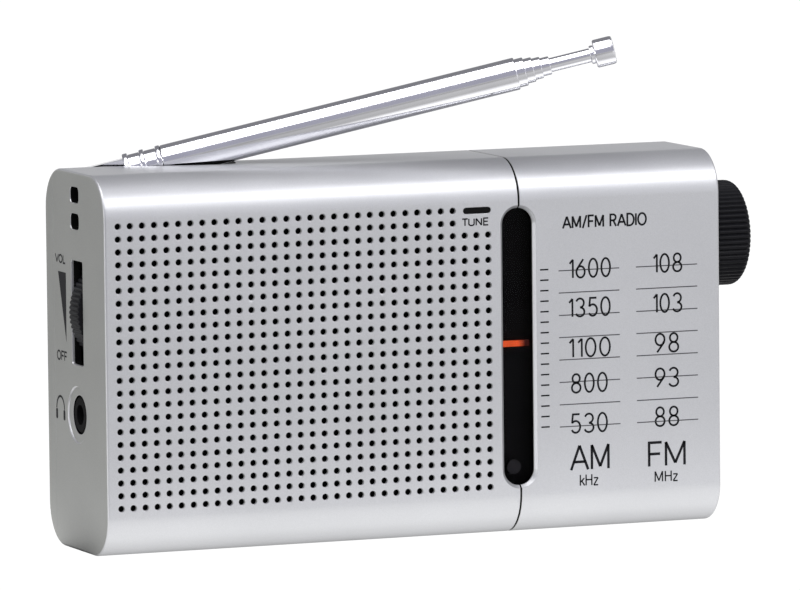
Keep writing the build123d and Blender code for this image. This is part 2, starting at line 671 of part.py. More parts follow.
def speaker_frame():
    """The pressed steel basket with its four windows."""
    centre = Pos(SPEAKER_X, 0, SPEAKER_Z)
    windows = [centre * Rot(0, 45 + 360 / BASKET_WINDOWS * turn, 0) * block(*BASKET_WINDOW)
               for turn in range(BASKET_WINDOWS)]
    return speaker_ring(BASKET) - windows


def dust_cap():
    """The shallow dome in the middle of the cone."""
    sphere_radius = (DUST_CAP_RADIUS ** 2 + DUST_CAP_HEIGHT ** 2) / (2 * DUST_CAP_HEIGHT)
    centre = Pos(SPEAKER_X, DUST_CAP_BACK + sphere_radius - DUST_CAP_HEIGHT, SPEAKER_Z)
    dome = centre * Sphere(sphere_radius) - centre * Sphere(sphere_radius - DUST_CAP_THICKNESS)
    rim = rod_y(SPEAKER_X, -12, DUST_CAP_BACK + 0.03, SPEAKER_Z, DUST_CAP_RADIUS - DUST_CAP_THICKNESS)
    return dome & rim


def speaker_parts():
    """The loudspeaker from its gasket back to its magnet."""
    save(grille_cloth(), "grille_cloth")
    save(speaker_ring(GASKET), "speaker_gasket")
    save(speaker_frame(), "speaker_frame")
    save(speaker_ring(CONE), "speaker_cone")
    save(dust_cap(), "speaker_dust_cap")
    save(speaker_ring(MAGNET), "speaker_magnet")
    plates = [speaker_ring(TOP_PLATE), speaker_ring(YOKE_PLATE)]
    save(Compound(children=plates), "speaker_plates")
    left, right = TERMINAL_STRIP
    strip = block(SPEAKER_X + left, SPEAKER_X + right, *TERMINAL_Y, SPEAKER_Z - TERMINAL_HALF_HEIGHT,
                  SPEAKER_Z + TERMINAL_HALF_HEIGHT)
    save(strip - speaker_ring(BEHIND_CONE), "speaker_terminals")


# ---- circuit board -----------------------------------------------------------------
def main_board():
    """The circuit board, cut out for the speaker, volume wheel and tuning capacitor."""
    y_low = BOARD_FRONT - PAST
    y_high = BOARD_BACK + PAST
    board = block(*BOARD_X, BOARD_FRONT, BOARD_BACK, *BOARD_Z)
    cuts = [rod_y(SPEAKER_X, y_low, y_high, SPEAKER_Z, SPEAKER_CUTOUT),
            block(LEFT, WHEEL_NOTCH_RIGHT, y_low, y_high, *WHEEL_NOTCH_Z),
            block(LEFT, POCKET_NOTCH_RIGHT, y_low, y_high, POCKET_NOTCH_LOW, CASE_HEIGHT),
            block(CAPACITOR_NOTCH_LEFT, RIGHT, y_low, y_high, CAPACITOR_NOTCH_LOW, CASE_HEIGHT)]
    cuts += [rod_y(x, y_low, y_high, z, SMALL_PILOT_RADIUS + 0.1) for x, z in BOARD_SCREWS]
    cuts += [rod_y(x, y_low, y_high, z, CASE_POST_RADIUS + 0.4) for x, z, _ in CASE_SCREWS]
    return board - cuts


def radio_chip():
    """The receiver's chip with two rows of bent legs."""
    z_low, z_high = CHIP_Z
    pieces = []
    for step in range(CHIP_LEGS):
        left = CHIP_X[0] + 1.2 + CHIP_LEG_PITCH * step
        right = left + CHIP_LEG_WIDTH
        for foot_z, arm_z in ((z_low - 0.9, z_low - 0.9), (z_high, z_high - 0.5)):
            pieces.append(block(left, right, CHIP_Y[1] - 0.6, BOARD_FRONT, foot_z, foot_z + 0.9))
            pieces.append(block(left, right, CHIP_Y[1] - 0.9, CHIP_Y[1] - 0.5, arm_z, arm_z + 1.4))
    return block(*CHIP_X, *CHIP_Y, z_low, z_high) + pieces


def resistor(x):
    """One resistor with its wire bent down to the board at both ends."""
    z = RESISTOR_Z
    body = rod_z(x, RESISTOR_Y, z - RESISTOR_HALF_LENGTH, z + RESISTOR_HALF_LENGTH, RESISTOR_RADIUS)
    reach = RESISTOR_WIRE_HALF_LENGTH
    wire = rod_z(x, RESISTOR_Y, z - reach, z + reach, RESISTOR_WIRE_RADIUS)
    feet = [rod_y(x, RESISTOR_Y, BOARD_FRONT, z + offset, RESISTOR_FOOT_RADIUS)
            for offset in (-RESISTOR_FOOT_OFFSET, RESISTOR_FOOT_OFFSET)]
    return body + wire + feet


def tuned_coil(x):
    """One screened coil: its can and the slotted core in its top."""
    can = block(x - COIL_HALF, x + COIL_HALF, BOARD_BACK, COIL_BACK, COIL_Z - COIL_HALF, COIL_Z + COIL_HALF)
    can = fillet(can.edges().filter_by(Axis.Y), 0.6)
    can = can - rod_y(x, COIL_BACK - 2.2, COIL_BACK + PAST, COIL_Z, COIL_HOLE_RADIUS)
    core = rod_y(x, COIL_BACK - 2.2, COIL_BACK - 0.4, COIL_Z, COIL_CORE_RADIUS)
    slot = block(x - 1.1, x + 1.1, COIL_BACK - 1.0, COIL_BACK, COIL_Z - 0.25, COIL_Z + 0.25)
    return [can, core - slot]


def ferrite_coil():
    """The coil wound round the ferrite rod, with a groove between its turns."""
    left, right = FERRITE_COIL_X
    coil = rod_x(left, right, FERRITE_Y, FERRITE_Z, FERRITE_COIL_RADIUS)
    coil = coil - rod_x(left - PAST, right + PAST, FERRITE_Y, FERRITE_Z, FERRITE_RADIUS + GAP)
    for turn in range(FERRITE_TURNS):
        x = left + 0.8 + turn
        ring = rod_x(x, x + 0.3, FERRITE_Y, FERRITE_Z, FERRITE_COIL_RADIUS + PAST)
        coil = coil - (ring - rod_x(x, x + 0.3, FERRITE_Y, FERRITE_Z, FERRITE_COIL_RADIUS - 0.15))
    return coil


def ferrite_holders():
    """The two plastic legs that carry the ferrite rod on the board."""
    holders = []
    for x in HOLDERS_X:
        leg = block(x - 1.2, x + 1.2, BOARD_BACK, FERRITE_Y + 1.5, FERRITE_Z - 5.0, FERRITE_Z + 3.0)
        holders.append(leg - rod_x(x - 2, x + 2, FERRITE_Y, FERRITE_Z, FERRITE_RADIUS + GAP))
    return Compound(children=holders)


def light_guide():
    """The bar that carries the tuning lamp's light to the slit in the front."""
    y = INNER_FRONT
    guide = front_slot(SLIT_X, SLIT_Z, SLIT_LENGTH - 0.1, SLIT_HEIGHT - 0.1, FRONT + 0.15, y + 0.5)
    guide = guide + block(SLIT_X - 3.4, SLIT_X + 3.4, y, y + 1, SLIT_Z - 1.1, SLIT_Z + 1.1)
    return guide + block(SLIT_X - 1.4, SLIT_X + 1.4, y + 0.5, LAMP_TIP - 0.2, SLIT_Z - 0.9, SLIT_Z + 0.9)


def band_slider():
    """The thumb piece of the band switch: cover plate, ribbed thumb and lever socket."""
    half_length, half_height = BAND_THUMB_HALF
    plate = block(BAND_X - 7.5, BAND_X + 8.5, BAND_CAP_Y, INNER_BACK - GAP, BAND_Z - 3.0, BAND_Z + 3.0)
    thumb = block(BAND_X - half_length, BAND_X + half_length, INNER_BACK - PAST, BACK - 0.2,
                  BAND_Z - half_height, BAND_Z + half_height)
    ribs = []
    for step in range(BAND_RIBS):
        x = BAND_X + BAND_RIB_PITCH * (step - (BAND_RIBS - 1) / 2)
        ribs.append(block(x - 0.3, x + 0.3, BACK - 0.3, BACK, BAND_Z - half_height, BAND_Z + half_height))
    socket = BAND_LEVER_HALF[0] + GAP
    socket_room = block(BAND_X - socket, BAND_X + socket, BAND_CAP_Y - PAST, BAND_CAP_Y + 0.65,
                        BAND_Z - socket, BAND_Z + socket)
    return plate + thumb + ribs - socket_room


def band_parts():
    """The band switch on the board, its lever and the slider behind the rear cover."""
    body = block(BAND_X - 6, BAND_X + 6 + BAND_TRAVEL, BOARD_BACK, 2.4, BAND_Z - 3, BAND_Z + 3)
    body = body - block(BAND_X - 1.6, BAND_X + 1.6 + BAND_TRAVEL, 0.4, 3, BAND_Z - 1.2, BAND_Z + 1.2)
    save(body, "band_switch")
    half_length, half_height = BAND_LEVER_HALF
    lever = block(BAND_X - half_length, BAND_X + half_length, 0.6, BAND_CAP_Y + 0.6,
                  BAND_Z - half_height, BAND_Z + half_height)
    save(lever, "band_lever")
    save(band_slider(), "band_slider")


def electronic_parts():
    """The board and what is soldered to it."""
    save(main_board(), "main_board")
    save(inner_screws(), "inner_screws")
    save(radio_chip(), "radio_chip")
    cans = [rod_y(x, CAN_TOP, BOARD_FRONT, CAN_Z, CAN_RADIUS) for x in CANS_X]
    save(Compound(children=cans), "electrolytic_capacitors")
    filters = [block(x - FILTER_HALF_WIDTH, x + FILTER_HALF_WIDTH, FILTER_TOP, BOARD_FRONT, *FILTER_Z)
               for x in FILTERS_X]
    save(Compound(children=filters), "ceramic_filters")
    resistors = [resistor(RESISTOR_X + RESISTOR_PITCH * step) for step in range(RESISTORS)]
    save(Compound(children=resistors), "resistors")
    coils = [piece for x in COILS_X for piece in tuned_coil(x)]
    save(Compound(children=coils), "tuned_coils")
    save(rod_x(*FERRITE_X, FERRITE_Y, FERRITE_Z, FERRITE_RADIUS), "ferrite_rod")
    save(ferrite_coil(), "ferrite_coil")
    save(ferrite_holders(), "ferrite_holders")
    lamp = rod_y(SLIT_X, LAMP_TIP, BOARD_FRONT, SLIT_Z, LAMP_RADIUS)
    save(fillet(lamp.edges().group_by(Axis.Y)[0], 1.2), "tuning_lamp")
    save(light_guide(), "lamp_light_guide")
    band_parts()


# ---- volume control and earphone jack ----------------------------------------------
def volume_wheel():
    """The thumbwheel: a finely ribbed rim on a thin web with a hub."""
    wheel = rod_y(VOLUME_X, VOLUME_FRONT, VOLUME_BACK, VOLUME_Z, VOLUME_RADIUS)
    wheel = chamfer(wheel.edges().filter_by(GeomType.CIRCLE), 0.35)
    wheel = wheel - rod_y(VOLUME_X, VOLUME_FRONT - PAST, VOLUME_FRONT + VOLUME_DISH, VOLUME_Z,
                          VOLUME_RADIUS - VOLUME_RIM)
    wheel = wheel + rod_y(VOLUME_X, VOLUME_FRONT + 0.6, VOLUME_BACK, VOLUME_Z, VOLUME_HUB_RADIUS)
    wheel = wheel - rod_y(VOLUME_X, VOLUME_FRONT - PAST, VOLUME_BACK + PAST, VOLUME_Z, VOLUME_BORE)
    groove = Pos(0, 0, VOLUME_RADIUS + 0.12) * Rot(0, 45, 0) * Box(0.55, 12, 0.55)
    grooves = [Pos(VOLUME_X, VOLUME_FRONT, VOLUME_Z) * Rot(0, 360 * step / VOLUME_RIBS, 0) * groove
               for step in range(VOLUME_RIBS)]
    return wheel - grooves


def volume_screw():
    """The slotted screw that holds the thumbwheel on its spindle."""
    head = rod_y(VOLUME_X, VOLUME_FRONT - 0.5, VOLUME_FRONT + 0.55, VOLUME_Z, 2.2)
    head = head - block(VOLUME_X - 1.6, VOLUME_X + 1.6, VOLUME_FRONT - 1, VOLUME_FRONT,
                        VOLUME_Z - 0.25, VOLUME_Z + 0.25)
    return head + rod_y(VOLUME_X, VOLUME_FRONT + 0.5, VOLUME_BACK + 0.5, VOLUME_Z, 1.0)


def volume_pot():
    """The potentiometer: round body, shoulder, side wing and five legs to the board."""
    pot = rod_y(VOLUME_X, POT_FRONT, POT_BACK, VOLUME_Z, POT_RADIUS)
    shoulder = rod_y(VOLUME_X, VOLUME_BACK + 0.55, POT_FRONT + 0.1, VOLUME_Z, 3.0)
    wing = block(VOLUME_X + 5, -37.4, 2.8, 5.2, VOLUME_Z - 5, VOLUME_Z + 5)
    legs = [rod_y(-37.9, BOARD_BACK, 3.0, VOLUME_Z - 4 + 2 * step, 0.4) for step in range(5)]
    return pot + shoulder + wing + legs - rod_y(VOLUME_X, 1, 5, VOLUME_Z, 1.1)


def earphone_jack():
    """The 3.5 mm earphone jack: a block with a round nose that fills the hole in the end face."""
    body = block(INNER_LEFT + 0.1, JACK_BODY_RIGHT, BOARD_BACK, 2.4, JACK_Z - JACK_BODY_HALF,
                 JACK_Z + JACK_BODY_HALF)
    nose = rod_x(LEFT + JACK_NOSE_SETBACK, INNER_LEFT + 0.2, JACK_Y, JACK_Z, JACK_NOSE_RADIUS)
    nose = chamfer(nose.edges().group_by(Axis.X)[0], 0.4)
    return body + nose - rod_x(LEFT, JACK_BORE_END, JACK_Y, JACK_Z, JACK_BORE_RADIUS)


def signal_contacts():
    """The jack's four legs and the strip that touches the antenna's swivel stem."""
    pieces = [block(x - 0.4, x + 0.4, BOARD_BACK, 3.0, z - 0.15, z + 0.15)
              for x in (-56, -47) for z in (JACK_Z - 3.2, JACK_Z + 3.2)]
    x, y, _ = PIVOT
    top = WELL_FLOOR - WELL_LINER - GAP
    strip = block(x - 3.0, -44.0, y - 2.2, INNER_BACK - 0.1, top - 0.85, top)
    pieces.append(strip - rod_z(x, y, top - 10, top + 10, STEM_RADIUS + GAP))
    return Compound(children=pieces)


def end_face_parts():
    """What works behind the left end face."""
    save(volume_wheel(), "volume_wheel")
    save(volume_screw(), "volume_screw")
    save(volume_pot(), "volume_pot")
    save(earphone_jack(), "earphone_jack")
    save(signal_contacts(), "signal_contacts")


# ---- tuning drive ------------------------------------------------------------------
def tuning_knob():
    """The side knob: ribbed rim, rounded outer edge and a recess for its screw."""
    knob = rod_x(KNOB_INNER_X, KNOB_OUTER_X, 0, TUNING_Z, KNOB_RADIUS)
    knob = fillet(knob.edges().group_by(Axis.X)[-1], KNOB_EDGE)
    groove = Pos(0, 0, KNOB_RADIUS + 0.1) * Rot(45, 0, 0) * Box(20, 0.62, 0.62)
    knob = knob - [Pos(KNOB_INNER_X + 3, 0, TUNING_Z) * Rot(360 * step / KNOB_RIBS, 0, 0) * groove
                   for step in range(KNOB_RIBS)]
    knob = knob - rod_x(KNOB_OUTER_X - KNOB_RECESS_DEPTH, KNOB_OUTER_X + PAST, 0, TUNING_Z,
                        KNOB_RECESS_RADIUS)
    knob = knob - (rod_x(KNOB_INNER_X - PAST, KNOB_WEB_X, 0, TUNING_Z, KNOB_RADIUS - KNOB_SKIRT)
                   - rod_x(KNOB_INNER_X - PAST, KNOB_OUTER_X, 0, TUNING_Z, KNOB_HUB_RADIUS))
    collar = rod_x(57.0, KNOB_INNER_X + 1, 0, TUNING_Z, KNOB_HUB_RADIUS)
    shaft_hole = rod_x(50, KNOB_WEB_X, 0, TUNING_Z, SHAFT_RADIUS + SHAFT_FIT)
    screw_hole = rod_x(50, KNOB_OUTER_X, 0, TUNING_Z, SCREW_BORE + 0.1)
    return knob + collar - shaft_hole - screw_hole


def knob_screw():
    """The cross-headed screw in the knob's recess."""
    seat = KNOB_OUTER_X - KNOB_RECESS_DEPTH
    head = rod_x(seat, seat + 1.6, 0, TUNING_Z, 2.4)
    half = CROSS_WIDTH / 2
    slots = [block(seat + 0.9, KNOB_OUTER_X, -1.4, 1.4, TUNING_Z - half, TUNING_Z + half),
             block(seat + 0.9, KNOB_OUTER_X, -half, half, TUNING_Z - 1.4, TUNING_Z + 1.4)]
    return head + rod_x(56.0, seat + 0.1, 0, TUNING_Z, SCREW_BORE - GAP) - slots


def tuning_drum():
    """The cord drum on the capacitor's shaft, with two flanges and lightening holes."""
    drum = rod_x(CORD_X - DRUM_HALF_WIDTH, CORD_X + DRUM_HALF_WIDTH, 0, TUNING_Z, DRUM_FLANGE_RADIUS)
    track = rod_x(CORD_X - DRUM_TRACK_HALF_WIDTH, CORD_X + DRUM_TRACK_HALF_WIDTH, 0, TUNING_Z,
                  DRUM_FLANGE_RADIUS + PAST)
    track = track - rod_x(CORD_X - 1, CORD_X + 1, 0, TUNING_Z, DRUM_PITCH_RADIUS - CORD_RADIUS - GAP)
    holes = [Pos(0, 0, TUNING_Z) * Rot(60 * step, 0, 0)
             * rod_x(CORD_X - 3, CORD_X + 3, DRUM_HOLE_CIRCLE, 0, DRUM_HOLE_RADIUS) for step in range(6)]
    hub = rod_x(CORD_X - DRUM_HALF_WIDTH, DRUM_HUB_END, 0, TUNING_Z, DRUM_HUB_RADIUS)
    return drum - track - holes + hub - rod_x(50, 60, 0, TUNING_Z, SHAFT_RADIUS + SHAFT_FIT)


def capacitor_rotor():
    """The tuning capacitor's shaft, spindle and half-round vanes."""
    shaft = rod_x(CAPACITOR_RIGHT + 0.2, KNOB_WEB_X - 0.1, 0, TUNING_Z, SHAFT_RADIUS)
    shaft = shaft - rod_x(55.0, KNOB_OUTER_X, 0, TUNING_Z, SCREW_BORE)
    vanes = [rod_x(x, x + VANE, 0, TUNING_Z, ROTOR_RADIUS)
             - block(x - 1, x + 1, -9, 0, TUNING_Z - 9, TUNING_Z + 9) for x in ROTOR_VANES_X]
    return shaft + rod_x(39.0, CAPACITOR_RIGHT + 0.3, 0, TUNING_Z, SPINDLE_RADIUS) + vanes


def tuning_capacitor():
    """The capacitor's box with its fixed vanes."""
    half = CAPACITOR_SIZE / 2
    room = half - CAPACITOR_WALL
    box = block(CAPACITOR_LEFT, CAPACITOR_RIGHT, -half, half, TUNING_Z - half, TUNING_Z + half)
    box = fillet(box.edges().filter_by(Axis.X), 1.0)
    box = box - block(CAPACITOR_LEFT + CAPACITOR_WALL, CAPACITOR_RIGHT - CAPACITOR_WALL, -room, room,
                      TUNING_Z - room, TUNING_Z + room)
    box = box - rod_x(49.0, 52, 0, TUNING_Z, SPINDLE_RADIUS + 0.1)
    return box + [block(x, x + VANE, -room, -2.2, TUNING_Z - room, TUNING_Z + room) for x in STATOR_VANES_X]


def capacitor_bracket():
    """The bent plate that carries the tuning capacitor on the board."""
    half = CAPACITOR_SIZE / 2
    plate = block(CAPACITOR_LEFT - BRACKET_THICKNESS, CAPACITOR_LEFT, -half, 6.0, TUNING_Z - half,
                  TUNING_Z + 6)
    foot = block(BRACKET_FOOT_LEFT, CAPACITOR_LEFT, BOARD_FRONT - BRACKET_THICKNESS, BOARD_FRONT,
                 TUNING_Z - 2.3, TUNING_Z + 2.4)
    return plate + foot


def cord_pulley():
    """The grooved pulley that turns the dial cord at the bottom of its run."""
    pulley = rod_x(CORD_X - PULLEY_HALF_WIDTH, CORD_X + PULLEY_HALF_WIDTH, PULLEY_Y, PULLEY_Z,
                   PULLEY_PITCH_RADIUS + 0.7)
    track = rod_x(CORD_X - 0.55, CORD_X + 0.55, PULLEY_Y, PULLEY_Z, PULLEY_PITCH_RADIUS + 2)
    track = track - rod_x(CORD_X - 1, CORD_X + 1, PULLEY_Y, PULLEY_Z, PULLEY_PITCH_RADIUS - CORD_RADIUS - GAP)
    return pulley - track - rod_x(CORD_X - 2, CORD_X + 2, PULLEY_Y, PULLEY_Z, PULLEY_PIN_RADIUS + 0.07)


def pulley_pin():
    """The headed pin that the pulley turns on."""
    pin = rod_x(CORD_X - 1.7, INNER_RIGHT + 0.3, PULLEY_Y, PULLEY_Z, PULLEY_PIN_RADIUS)
    return pin + rod_x(CORD_X - 2.2, CORD_X - 1.25, PULLEY_Y, PULLEY_Z, 1.5)


def dial_cord():
    """The closed cord round the drum and the pulley: two straight runs and two arcs."""
    rise = PULLEY_Z - TUNING_Z
    span = sqrt(PULLEY_Y ** 2 + rise ** 2)
    along = atan2(rise, PULLEY_Y)
    lean = asin((DRUM_PITCH_RADIUS - PULLEY_PITCH_RADIUS) / span)
    front_angle = along - (pi / 2 - lean)
    back_angle = along + (pi / 2 - lean)

    def drum_point(angle):
        return (DRUM_PITCH_RADIUS * cos(angle), DRUM_PITCH_RADIUS * sin(angle))

    def pulley_point(angle):
        return (PULLEY_Y + PULLEY_PITCH_RADIUS * cos(angle), rise + PULLEY_PITCH_RADIUS * sin(angle))

    loop = [ThreePointArc(drum_point(front_angle), drum_point(along + pi), drum_point(back_angle)),
            Line(drum_point(back_angle), pulley_point(back_angle)),
            ThreePointArc(pulley_point(back_angle), pulley_point(along), pulley_point(front_angle)),
            Line(pulley_point(front_angle), drum_point(front_angle))]
    path = Plane((CORD_X, 0, TUNING_Z), x_dir=(0, 1, 0), z_dir=(1, 0, 0)) * Wire(loop)
    cord = sweep(Plane(origin=path @ 0, z_dir=path % 0) * Circle(CORD_RADIUS), path=path)
    print("dial cord length", round(path.length, 1), "volume check",
          round(cord.volume / (path.length * pi * CORD_RADIUS ** 2), 3))
    return cord


def pointer_carriage():
    """The carriage on its rail, its arm behind the window and its grip on the cord."""
    low = POINTER_Z - GRIP_LOW
    high = POINTER_Z - GRIP_HIGH
    arm = block(ARM_LEFT, RAIL_X - 1.5, *ARM_Y, POINTER_Z - ARM_BELOW, POINTER_Z + ARM_ABOVE)
    slider = block(RAIL_X - 1.8, RAIL_X + 1.8, -13.3, -10.8, POINTER_Z - SLIDER_HALF_HEIGHT,
                   POINTER_Z + SLIDER_HALF_HEIGHT)
    ear = block(RAIL_X + 1.0, CORD_X + 1.2, -11.6, -10.8, low, high)
    grip = block(CORD_X - 1.2, CORD_X + 1.2, -11.6, -8.4, low, high)
    bore = rod_z(RAIL_X, RAIL_Y, 0, CASE_HEIGHT, RAIL_RADIUS + GAP)
    cord_bore = rod_z(CORD_X, -DRUM_PITCH_RADIUS, 0, CASE_HEIGHT, CORD_RADIUS + 0.08)
    return arm + slider + ear + grip - bore - cord_bore


def dial_lens():
    """The window: a round-ended bar that fills the opening, on a wider flange inside."""
    lens = front_slot(WINDOW_X, WINDOW_Z, WINDOW_WIDTH - 0.1, WINDOW_LENGTH - 0.1, FRONT + LENS_DEPTH,
                      INNER_FRONT)
    grow = 2 * LENS_FLANGE
    return lens + front_slot(WINDOW_X, WINDOW_Z, WINDOW_WIDTH + grow, WINDOW_LENGTH + grow, INNER_FRONT,
                             INNER_FRONT + LENS_FLANGE_THICKNESS)


def dial_back_plate():
    """The dark plate behind the pointer, with a small boss and two stands on the board."""
    plate = block(*DIAL_PLATE_X, *DIAL_PLATE_Y, *DIAL_PLATE_Z)
    face, back = DIAL_PLATE_Y
    boss = rod_y(DIAL_BOSS_X, face - DIAL_BOSS_HEIGHT, face, DIAL_BOSS_Z, DIAL_BOSS_RADIUS)
    stands = [block(*DIAL_PLATE_X, back, BOARD_FRONT, z, z + DIAL_STAND_THICKNESS) for z in DIAL_STANDS_Z]
    return plate + boss + stands


def tuning_parts():
    """Knob, drum, capacitor, cord, pulley, pointer, rail, window and back plate."""
    save(tuning_knob(), "tuning_knob")
    save(knob_screw(), "knob_screw")
    save(tuning_drum(), "tuning_drum")
    save(capacitor_rotor(), "capacitor_rotor")
    save(tuning_capacitor(), "tuning_capacitor")
    save(capacitor_bracket(), "capacitor_bracket")
    save(cord_pulley(), "cord_pulley")
    save(pulley_pin(), "pulley_pin")
    save(dial_cord(), "dial_cord")
    save(rod_z(RAIL_X, RAIL_Y, RAIL_LOW, RAIL_HIGH, RAIL_RADIUS), "pointer_rail")
    save(pointer_carriage(), "pointer_carriage")
    pointer = block(*POINTER_X, *POINTER_Y, POINTER_Z - POINTER_HALF_HEIGHT, POINTER_Z + POINTER_HALF_HEIGHT)
    save(pointer, "dial_pointer")
    save(dial_lens(), "dial_lens")
    save(dial_back_plate(), "dial_back_plate")


# ---- battery -----------------------------------------------------------------------
def battery(left, z, nub_right):
    """An AA cell along X: body with rounded shoulders and its nub."""
    body_left = left if nub_right else left + CELL_NUB
    body = rod_x(body_left, body_left + CELL_LENGTH - CELL_NUB, CELL_Y, z, CELL_RADIUS)
    body = fillet(body.edges().filter_by(GeomType.CIRCLE), 0.6)
    nub_left = body_left + CELL_LENGTH - CELL_NUB - 0.1 if nub_right else left
    return body + rod_x(nub_left, nub_left + CELL_NUB + 0.1, CELL_Y, z, CELL_NUB_RADIUS)


def coil_spring(x_low, x_high, z):
    """A conical contact spring of round wire, along X."""
    height = x_high - x_low - 2 * SPRING_WIRE_RADIUS
    helix = Helix(pitch=height / SPRING_TURNS, height=height, radius=SPRING_RADIUS, cone_angle=-SPRING_TAPER)
    section = Plane(origin=helix @ 0, z_dir=helix % 0) * Circle(SPRING_WIRE_RADIUS)
    spring = sweep(section, path=helix, is_frenet=True)
    return Pos(x_low + SPRING_WIRE_RADIUS, CELL_Y, z) * Rot(0, 90, 0) * spring


def battery_parts():
    """Two cells, and their contact plates with the springs on them."""
    plate = CONTACT_THICKNESS
    low_z, high_z = CELLS_Z
    cells = [battery(BAY_RIGHT - plate - CELL_LENGTH, low_z, True), battery(BAY_LEFT + plate, high_z, False)]
    save(Compound(children=cells), "battery_cells")
    half_width, half_height = CONTACT_HALF
    contacts = [block(x, x + plate, CELL_Y - half_width, CELL_Y + half_width, z - half_height,
                      z + half_height)
                for z in CELLS_Z for x in (BAY_LEFT, BAY_RIGHT - plate)]
    room = BAY_RIGHT - BAY_LEFT - 2 * plate - CELL_LENGTH
    left_spring = coil_spring(BAY_LEFT + plate, BAY_LEFT + plate + room, low_z)
    right_spring = coil_spring(BAY_RIGHT - plate - room, BAY_RIGHT - plate, high_z)
    save(Compound(children=contacts + [left_spring.solid(), right_spring.solid()]), "battery_contacts")


# ---- telescopic antenna ------------------------------------------------------------
def antenna_yoke():
    """The swivel: stem, round foot and the two ears that hold the antenna's pin."""
    x, y, z = PIVOT
    facing = Rot(0, 0, ANTENNA_AZIMUTH)
    foot = rod_z(x, y, WELL_FLOOR, WELL_FLOOR + YOKE_FOOT_THICKNESS, YOKE_FOOT_RADIUS)
    stem = rod_z(x, y, WELL_FLOOR - STEM_LENGTH, WELL_FLOOR + 0.2, STEM_RADIUS)
    yoke = foot + stem
    for inner in (EAR_GAP, -EAR_GAP - EAR_THICKNESS):
        ear = block(-EAR_RADIUS, EAR_RADIUS, inner, inner + EAR_THICKNESS, WELL_FLOOR, z)
        ear = ear + rod_y(0, inner, inner + EAR_THICKNESS, z, EAR_RADIUS)
        yoke = yoke + Pos(x, y, 0) * facing * ear
    return yoke - Pos(x, y, z) * facing * rod_y(0, -5, 5, 0, PIN_RADIUS + 0.03)


def antenna_base():
    """The antenna's root: the tongue on its pin, the ferrule and three rings."""
    half = EAR_GAP - GAP
    tongue = rod_y(0, -half, half, 0, TONGUE_RADIUS)
    tongue = tongue + block(0, FERRULE_START + 0.5, -half, half, -TONGUE_RADIUS, TONGUE_RADIUS)
    tongue = tongue - rod_y(0, -5, 5, 0, PIN_RADIUS + GAP)
    tongue = antenna_frame() * Rot(0, -90, 0) * tongue
    rings = [on_antenna(start, start + length, RING_RADIUS) for start, length in RINGS]
    return tongue + on_antenna(FERRULE_START, TUBE_START, FERRULE_RADIUS) + rings


def antenna_parts():
    """Swivel yoke, pin, base fitting, nested tubes, rod and tip."""
    save(antenna_yoke(), "antenna_yoke")
    half = EAR_GAP + EAR_THICKNESS + PIN_OVERHANG
    save(Pos(*PIVOT) * Rot(0, 0, ANTENNA_AZIMUTH) * rod_y(0, -half, half, 0, PIN_RADIUS), "antenna_pin")
    save(antenna_base(), "antenna_base")
    outer = (on_antenna(TUBE_START, TUBE_END, TUBE_RADIUS)
             - on_antenna(TUBE_START + TUBE_BOTTOM, TUBE_END + PAST, TUBE_BORE))
    save(outer, "antenna_tube_1")
    start = TUBE_START + TUBE_BOTTOM + 0.2
    for number, (outside, inside, end) in enumerate(SECTIONS, start=2):
        tube = on_antenna(start, end, outside) - on_antenna(start + SECTION_BOTTOM, end + PAST, inside)
        save(tube, "antenna_tube_" + str(number))
        start += SECTION_STEP
    save(on_antenna(start, ROD_END, ROD_RADIUS), "antenna_rod")
    cap = on_antenna(NECK_END, TIP_END, TIP_RADIUS)
    cap = chamfer(cap.edges().filter_by(GeomType.CIRCLE), TIP_EDGE)
    save(on_antenna(ROD_END, NECK_END, NECK_RADIUS) + cap, "antenna_tip")


# ---- leads -------------------------------------------------------------------------
def lead(points):
    """A thin insulated lead that keeps its bends as large as its runs allow."""
    radii = []
    for before, here, after in zip(points, points[1:], points[2:]):
        first = Vector(*here) - Vector(*before)
        second = Vector(*after) - Vector(*here)
        turn = first.get_angle(second) * pi / 180
        radii.append(0.45 * min(first.length, second.length) / tan(turn / 2))
    path = FilletPolyline(*points, radius=radii)
    tube = sweep(Plane(origin=path @ 0, z_dir=path % 0) * Circle(LEAD_RADIUS), path=path)
    print("lead", round(path.length, 1), "radii", [round(value, 1) for value in radii],
          "volume check", round(tube.volume / (path.length * pi * LEAD_RADIUS ** 2), 3))
    return tube


def speaker_leads():
    """The two leads from the speaker's terminals to the board."""
    start_x = SPEAKER_X + TERMINAL_STRIP[1]
    start_y = sum(TERMINAL_Y) / 2
    leads = []
    for side in (-1, 1):
        z = SPEAKER_Z + 2.0 * side
        end_z = z + 2.5 * side
        leads.append(lead([(start_x, start_y, z), (start_x + 2.5, start_y, z),
                           (start_x + 5.0, start_y + 1, end_z), (start_x + 5.0, BOARD_FRONT, end_z)]))
    return Compound(children=leads)


os.makedirs("parts", exist_ok=True)
save(speaker_housing(), "speaker_housing")
save(dial_housing(), "dial_housing")
save(rear_cover(), "rear_cover")
save(battery_door(), "battery_door")
save(case_screws(), "case_screws")
speaker_parts()
electronic_parts()
end_face_parts()
tuning_parts()
battery_parts()
antenna_parts()
save(speaker_leads(), "speaker_leads")
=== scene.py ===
"""The transistor pocket radio's looks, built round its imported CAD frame.

Lengths are millimetres unless a name says otherwise, and are scaled to Blender's metres
when a mesh is made. X runs along the front from left to right, Y to the back and Z up.
"""
import json
import math

import bmesh
import bpy
from mathutils import Matrix, Vector


